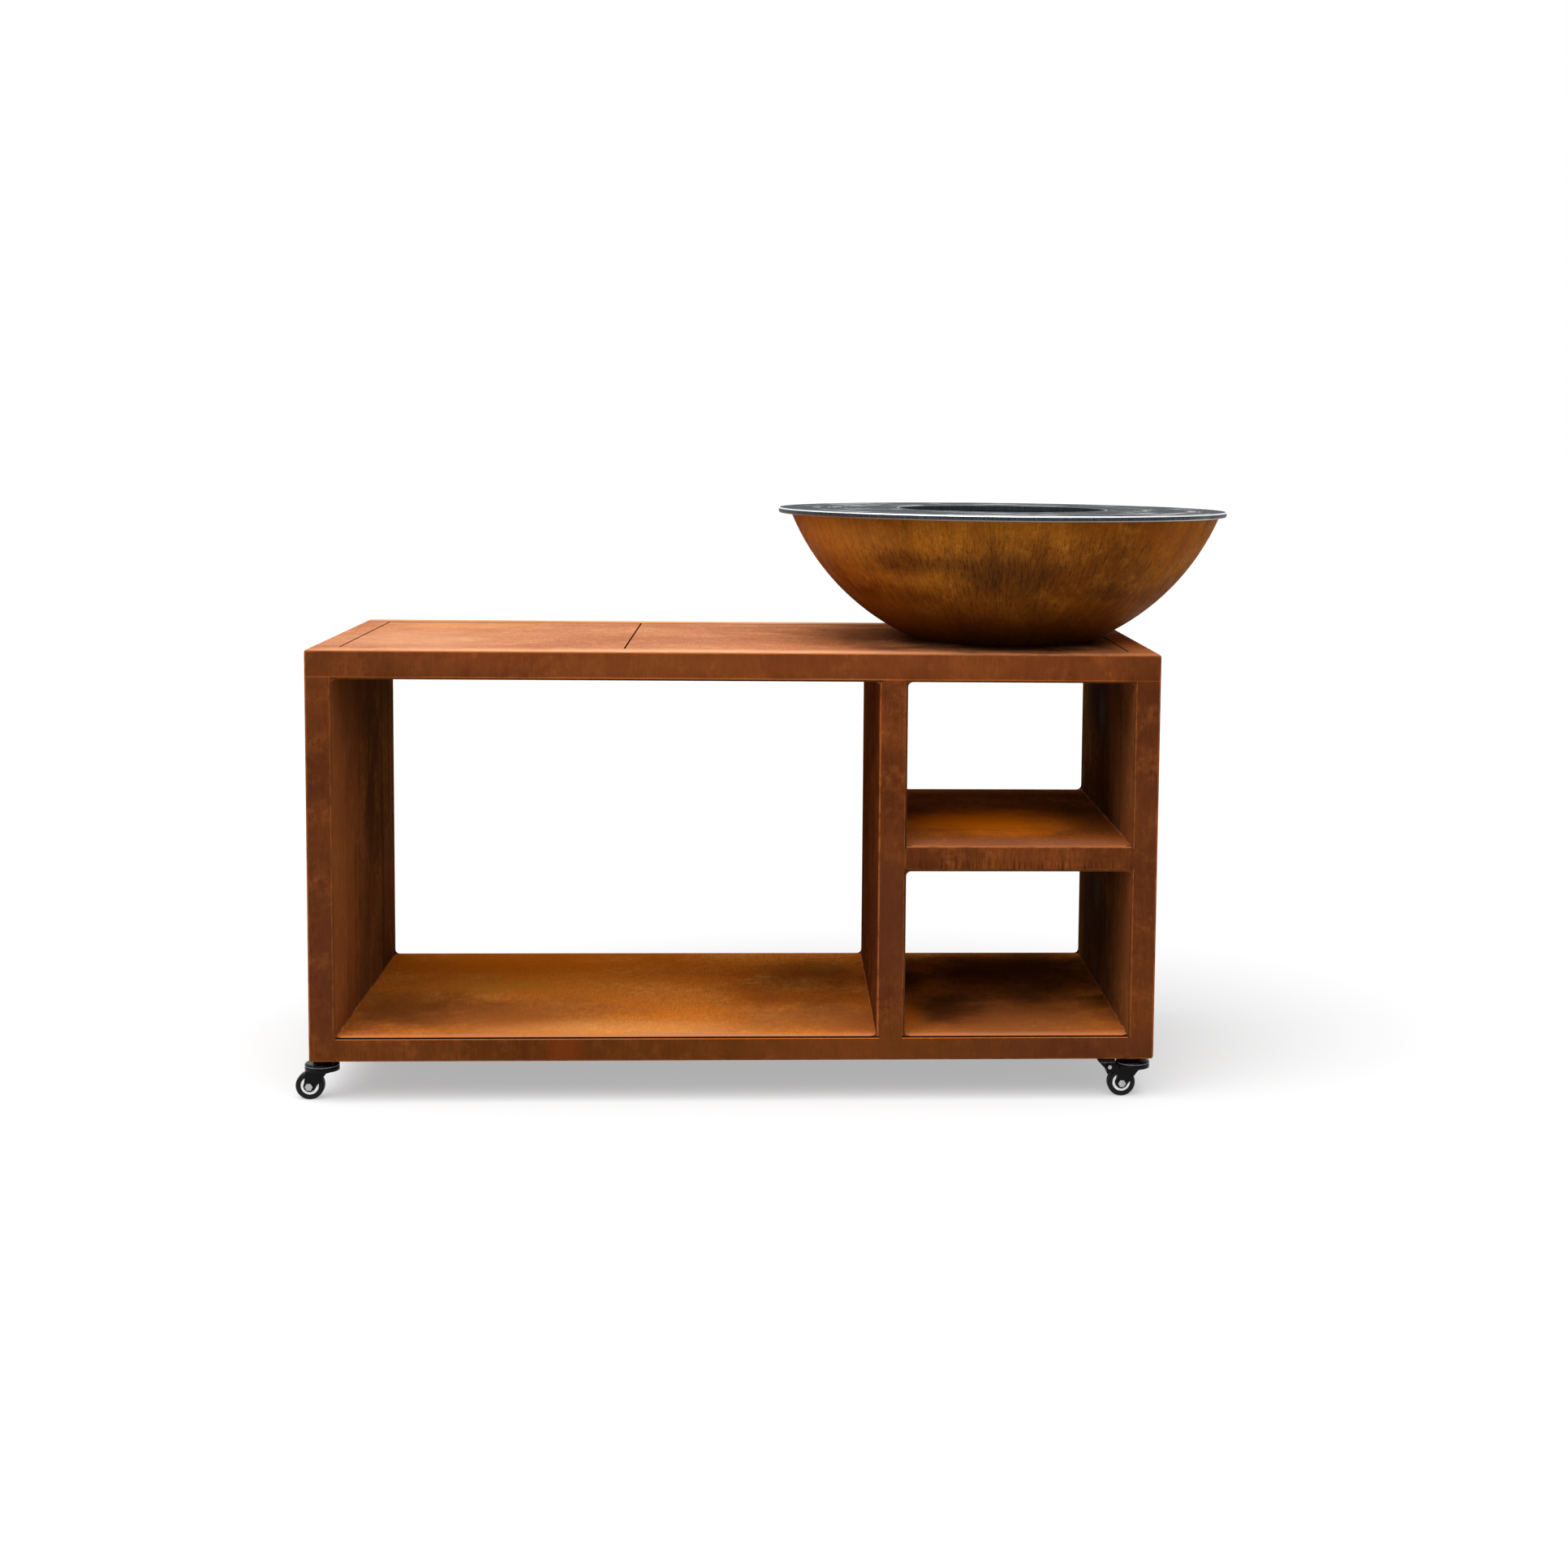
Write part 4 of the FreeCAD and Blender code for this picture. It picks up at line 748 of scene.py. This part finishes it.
def caster_black():
    material, sheet, shader, place, normal = new_material("caster_black")
    scratch_way = sheet.vector("MULTIPLY", place, SCRATCHES_PER_METRE)
    scratch = sheet.noise(scratch_way, 1.0, detail=4.0, roughness=0.7)
    scratches = sheet.span(scratch, *SCRATCH_SPAN)
    settled = sheet.group(dust, Vector=place, Normal=normal)["Mask"]
    colour = sheet.mix(sheet.math("MULTIPLY", scratches, SCRATCH_SHARE), GLOSS_BLACK, SCRATCH)
    colour = sheet.mix(sheet.math("MULTIPLY", settled, PAINT_DUST), colour, DUST)
    # A thin broken painted highlight runs along the lower edge of the cup.
    from_line = sheet.math("ABSOLUTE", sheet.math("SUBTRACT", sheet.split(place)[2], cup_foot + LINE_HALF))
    near_line = sheet.span(from_line, LINE_HALF, LINE_HALF / 2)
    line = sheet.math("MULTIPLY", near_line, sheet.span(scratch, *LINE_SPAN))
    colour = sheet.mix(line, colour, PAINTED_HIGHLIGHT)
    sheet.feed(shader["Base Color"], colour)
    scratched = sheet.math("MULTIPLY", scratches, SCRATCH_HAZE)
    haze = sheet.math("ADD", scratched, sheet.math("MULTIPLY", settled, DUST_HAZE))
    sheet.feed(shader["Roughness"], sheet.math("ADD", haze, PAINT_ROUGHNESS))
    orange_peel = sheet.noise(place, PEEL_PER_METRE, detail=2.0)
    sheet.feed(shader["Normal"], bump(sheet, orange_peel, FINE_BUMP, strength=0.3))
    shader["Specular IOR Level"].default_value = 0.1
    return material


def tyre_rubber():
    material, sheet, shader, place, normal = new_material("tyre_rubber")
    scuffs = sheet.span(sheet.noise(place, SCUFFS_PER_METRE, detail=5.0, roughness=0.7), *SCUFF_SPAN)
    settled = sheet.group(dust, Vector=place, Normal=normal)["Mask"]
    colour = sheet.mix(sheet.math("MULTIPLY", scuffs, SCUFF_SHARE), TYRE_BLACK, TYRE_SCUFF)
    colour = sheet.mix(sheet.math("MULTIPLY", settled, TYRE_DUST), colour, DUST)
    sheet.feed(shader["Base Color"], colour)
    sheet.feed(shader["Roughness"], sheet.span(scuffs, 0.0, 1.0, *TYRE_ROUGHNESS))
    relief = sheet.noise(place, RUBBER_PER_METRE, detail=3.0)
    sheet.feed(shader["Normal"], bump(sheet, relief, FINE_BUMP, strength=0.4))
    shader["Specular IOR Level"].default_value = 0.15
    return material


def zinc_plate():
    """Zinc plating with a grain of duller spots."""
    material, sheet, shader, place, _ = new_material("zinc_plate")
    spots = sheet.span(sheet.noise(place, ZINC_PER_METRE, detail=4.0, roughness=0.6), *SPOT_SPAN)
    sheet.feed(shader["Base Color"], sheet.mix(spots, ZINC, ZINC_DULL))
    sheet.feed(shader["Roughness"], sheet.span(spots, 0.0, 1.0, *ZINC_ROUGHNESS))
    sheet.feed(shader["Normal"], bump(sheet, spots, PLATING_BUMP, strength=0.3))
    shader["Metallic"].default_value = 1.0
    return material


def wheel_centre():
    """A bright ring just inside the tyre and black beside it. The wheels differ only in x."""
    material, sheet, shader, place, _ = new_material("wheel_centre")
    x, _, z = sheet.split(place)
    across = sheet.math("SUBTRACT", sheet.math("ABSOLUTE", sheet.math("SUBTRACT", x, hub_middle)), hub_spread)
    upwards = sheet.math("SUBTRACT", z, hub_places[0].z)
    radius = sheet.vector("LENGTH", sheet.join(across, upwards, 0.0))
    past_inside = sheet.span(radius, RING_INSIDE, RING_INSIDE + RING_EDGE)
    short_of_outside = sheet.span(radius, RING_OUTSIDE, RING_OUTSIDE - RING_EDGE)
    ring = sheet.math("MULTIPLY", past_inside, short_of_outside)
    spots = sheet.span(sheet.noise(place, CENTRE_PER_METRE, detail=4.0, roughness=0.6), *SPOT_SPAN)
    sheet.feed(shader["Base Color"], sheet.mix(ring, GLOSS_BLACK, sheet.mix(spots, BRIGHT, BRIGHT_DULL)))
    sheet.feed(shader["Metallic"], ring)
    sheet.feed(shader["Roughness"], sheet.span(spots, 0.0, 1.0, *CENTRE_ROUGHNESS))
    return material


def race_nylon():
    material, sheet, shader, place, _ = new_material("race_nylon")
    worn = sheet.span(sheet.noise(place, NYLON_PER_METRE, detail=4.0), *NYLON_SPAN)
    sheet.feed(shader["Base Color"], sheet.mix(worn, NYLON, NYLON_WORN))
    sheet.feed(shader["Roughness"], sheet.span(worn, 0.0, 1.0, *NYLON_ROUGHNESS))
    return material


finishes = {
    "caster_black": caster_black(),
    "black_tyre": tyre_rubber(),
    "bright_hub": wheel_centre(),
    "zinc": zinc_plate(),
    "race_nylon": race_nylon(),
}
for part in frame["record"]["subparts"]:
    if part["material_slot"] in finishes:
        dress(part["node"], finishes[part["material_slot"]])
print("caster finishes:", ", ".join(finishes))

# %% [markdown]
# ## Weld beads
# Deck, shelf and walls meet in inner corners, and a thin fillet weld runs along each of them from front to
# back. A weld is a row of small drops that froze one over the other. The rows could be modelled drop by
# drop, but then nothing could be changed later. A geometry node group takes the seams as bare lines, sets a
# drop every few millimetres and makes each one a little larger or smaller than the next.

# %% Weld beads group
def make_weld_beads():
    tree = bpy.data.node_groups.new("weld beads", "GeometryNodeTree")
    inputs = {"Seams": "Geometry", "Pitch": "Float", "Radius": "Float", "Unevenness": "Float"}
    inputs.update({"Seed": "Int", "Finish": "Material"})
    for socket, kind in inputs.items():
        tree.interface.new_socket(name=socket, in_out="INPUT", socket_type="NodeSocket" + kind)
    tree.interface.new_socket(name="Beads", in_out="OUTPUT", socket_type="NodeSocketGeometry")
    sheet = NodeSheet(tree)
    given = sheet.add("NodeGroupInput").outputs
    lines = sheet.add("GeometryNodeMeshToCurve", {"Mesh": given["Seams"]}).outputs[0]
    steps = sheet.add("GeometryNodeResampleCurve", {"Curve": lines, "Length": given["Pitch"]}, mode="LENGTH")
    drop = sheet.add("GeometryNodeMeshIcoSphere", {"Radius": given["Radius"], "Subdivisions": 1}).outputs[0]
    smallest = sheet.math("SUBTRACT", 1.0, given["Unevenness"])
    largest = sheet.math("ADD", 1.0, given["Unevenness"])
    size = sheet.add("FunctionNodeRandomValue", {2: smallest, 3: largest, "Seed": given["Seed"]}).outputs[1]
    placed = {"Points": steps.outputs[0], "Instance": drop, "Scale": size}
    beads = sheet.add("GeometryNodeInstanceOnPoints", placed).outputs[0]
    beads = sheet.add("GeometryNodeRealizeInstances", {"Geometry": beads}).outputs[0]
    beads = sheet.add("GeometryNodeSetShadeSmooth", {0: beads}).outputs[0]
    beads = sheet.add("GeometryNodeSetMaterial", {"Geometry": beads, "Material": given["Finish"]}).outputs[0]
    sheet.feed(sheet.add("NodeGroupOutput").inputs[0], beads)
    return tree


weld_beads = make_weld_beads()
print(weld_beads.name, len(weld_beads.nodes), "nodes")

# %% [markdown]
# ## The seams that get beads
# Beads show where deck and shelf meet the walls; the other seams were ground flush. Each seam is one
# straight line that stops short of the front and back edges. The beads ride on the table's body, because
# they are part of it.

# %% Lay the weld beads
WELD = Tone(srgb(120, 60, 24), srgb(166, 92, 44), srgb(204, 130, 80))
WELD_CLOUD = 0.05
WELD_END = 0.012
BEAD_INPUTS = {"Pitch": 0.0026, "Radius": 0.0016, "Unevenness": 0.25, "Seed": 7}


def weld_rust():
    material, sheet, shader, place, _ = new_material("weld_rust")
    skin = rust_layer(sheet, place, WELD, WELD_CLOUD)
    sheet.feed(shader["Base Color"], skin["Color"])
    sheet.feed(shader["Roughness"], skin["Roughness"])
    sheet.feed(shader["Normal"], bump(sheet, skin["Height"], RUST_BUMP))
    shader["Specular IOR Level"].default_value = 0.05
    return material


def lay_welds(corners):
    """Weld beads from front to back along inner corners, each given by its x and z."""
    points, lines = [], []
    for x, z in corners:
        lines.append((len(points), len(points) + 1))
        points += [(x, table_front + WELD_END, z), (x, table_back - WELD_END, z)]
    mesh = bpy.data.meshes.new("weld_seams")
    mesh.from_pydata(points, lines, [])
    seams = bpy.data.objects.new("weld_seams", mesh)
    bpy.context.scene.collection.objects.link(seams)
    modifier = seams.modifiers.new("weld_beads", "NODES")
    modifier.node_group = weld_beads
    values = dict(BEAD_INPUTS, Finish=weld_rust())
    for socket in weld_beads.interface.items_tree:
        if socket.name in values:
            modifier[socket.identifier] = values[socket.name]
    grown = seams.evaluated_get(bpy.context.evaluated_depsgraph_get())
    beads = bpy.data.objects.new("weld_beads", bpy.data.meshes.new_from_object(grown))
    seams.modifiers.remove(modifier)
    bpy.data.objects.remove(seams)
    bpy.context.scene.collection.objects.link(beads)
    return beads


deck_corners = [(x, deck_top) for x in (left_wall, divider_left, divider_right, right_wall)]
shelf_corners = [(x, shelf_top) for x in (divider_right, right_wall)]
beads = lay_welds(deck_corners + shelf_corners)
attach(beads, "table")
print("weld beads:", len(beads.data.polygons), "faces")

# %% [markdown]
# ## Floor and light
# The table stands on a plain pale floor under one wide soft light from above, with a weaker light from all
# round. A floor that is white to the camera would throw too much light up at the fronts, so the floor shows
# the camera more light than it gives to the object.

# %% Floor and light
WHITE = (1.0, 1.0, 1.0, 1.0)
FLOOR_REACH = 60.0
FLOOR_GREY = (0.5, 0.5, 0.5, 1.0)
FLOOR_LIFT = 0.42
FILL_FRONT = 0.6
FILL_BACK = 0.2
KEY = 3.3
KEY_SPREAD = 75.0
KEY_LEAN = (22.0, -12.0)


def seen_directly(sheet):
    """1 for what the camera sees directly, in a reflection or through glass."""
    rays = sheet.add("ShaderNodeLightPath").outputs
    mirrored = sheet.math("MAXIMUM", rays["Is Glossy Ray"], rays["Is Transmission Ray"])
    return sheet.math("MAXIMUM", rays["Is Camera Ray"], mirrored)


def make_floor():
    reach = FLOOR_REACH
    corners = [(-reach, -reach, 0), (reach, -reach, 0), (reach, reach, 0), (-reach, reach, 0)]
    mesh = bpy.data.meshes.new("floor")
    mesh.from_pydata(corners, [], [(0, 1, 2, 3)])
    floor = bpy.data.objects.new("floor", mesh)
    bpy.context.scene.collection.objects.link(floor)
    material, sheet, shader, _, _ = new_material("floor_pale")
    shader["Base Color"].default_value = FLOOR_GREY
    shader["Roughness"].default_value = 1.0
    shader["Specular IOR Level"].default_value = 0.0
    shader["Emission Color"].default_value = WHITE
    lift = sheet.math("MULTIPLY", seen_directly(sheet), FLOOR_LIFT)
    sheet.feed(shader["Emission Strength"], lift)
    mesh.materials.append(material)


def make_world():
    world = bpy.data.worlds.new("studio")
    world.use_nodes = True
    sheet = NodeSheet(world.node_tree)
    background = world.node_tree.nodes["Background"]
    background.inputs["Color"].default_value = WHITE
    _, backward, _ = sheet.split(sheet.add("ShaderNodeTexCoord").outputs["Generated"])
    around = sheet.span(backward, -1.0, 1.0, FILL_FRONT, FILL_BACK)
    rest = sheet.math("MULTIPLY", sheet.math("SUBTRACT", 1.0, around), seen_directly(sheet))
    sheet.feed(background.inputs["Strength"], sheet.math("ADD", around, rest))
    bpy.context.scene.world = world


def make_key():
    light = bpy.data.lights.new("key", "SUN")
    light.energy = KEY
    light.angle = math.radians(KEY_SPREAD)
    key = bpy.data.objects.new("key", light)
    key.rotation_euler = (math.radians(KEY_LEAN[0]), math.radians(KEY_LEAN[1]), 0.0)
    bpy.context.scene.collection.objects.link(key)


make_floor()
make_world()
make_key()
bpy.context.scene.view_settings.view_transform = "Standard"
print("key", KEY, "fill from front and back", FILL_FRONT, FILL_BACK)

# %% [markdown]
# ## Camera
# The camera looks from a little above the griddle, as in the photograph. It could be set by eye, but its
# place, its turns, its focal length and the shift of its axis come from a fit to the table's corners, so
# that the render lies over the photograph. The fit is in degrees, metres and pixels of the photograph.

# %% Camera
IMAGE_WIDTH = 1932
SENSOR = 36.0
FOCAL_PIXELS = 2979.6
AXIS_PIXEL = (1117.7, 823.3)
CAMERA_PLACE = Vector((-0.02265, -4.5780, 1.18337))
CAMERA_YAW, CAMERA_PITCH, CAMERA_ROLL = 3.398, -5.457, 0.649


def make_camera():
    yaw, pitch, roll = (math.radians(angle) for angle in (CAMERA_YAW, CAMERA_PITCH, CAMERA_ROLL))
    ahead = Vector((math.sin(yaw) * math.cos(pitch), math.cos(yaw) * math.cos(pitch), math.sin(pitch)))
    level_right = Vector((math.cos(yaw), -math.sin(yaw), 0.0))
    level_up = level_right.cross(ahead)
    right = math.cos(roll) * level_right + math.sin(roll) * level_up
    up = math.cos(roll) * level_up - math.sin(roll) * level_right
    data = bpy.data.cameras.new("camera")
    data.sensor_width = SENSOR
    data.lens = FOCAL_PIXELS / IMAGE_WIDTH * SENSOR
    data.shift_x = (IMAGE_WIDTH / 2 - AXIS_PIXEL[0]) / IMAGE_WIDTH
    data.shift_y = (AXIS_PIXEL[1] - IMAGE_WIDTH / 2) / IMAGE_WIDTH
    data.clip_end = 4 * FLOOR_REACH
    camera = bpy.data.objects.new("camera", data)
    turn = Matrix((right, up, -ahead)).transposed().to_4x4()
    camera.matrix_world = Matrix.Translation(CAMERA_PLACE) @ turn
    bpy.context.scene.collection.objects.link(camera)
    bpy.context.scene.camera = camera
    return data


camera = make_camera()
print("lens", round(camera.lens, 1), "shift", round(camera.shift_x, 3), round(camera.shift_y, 3))
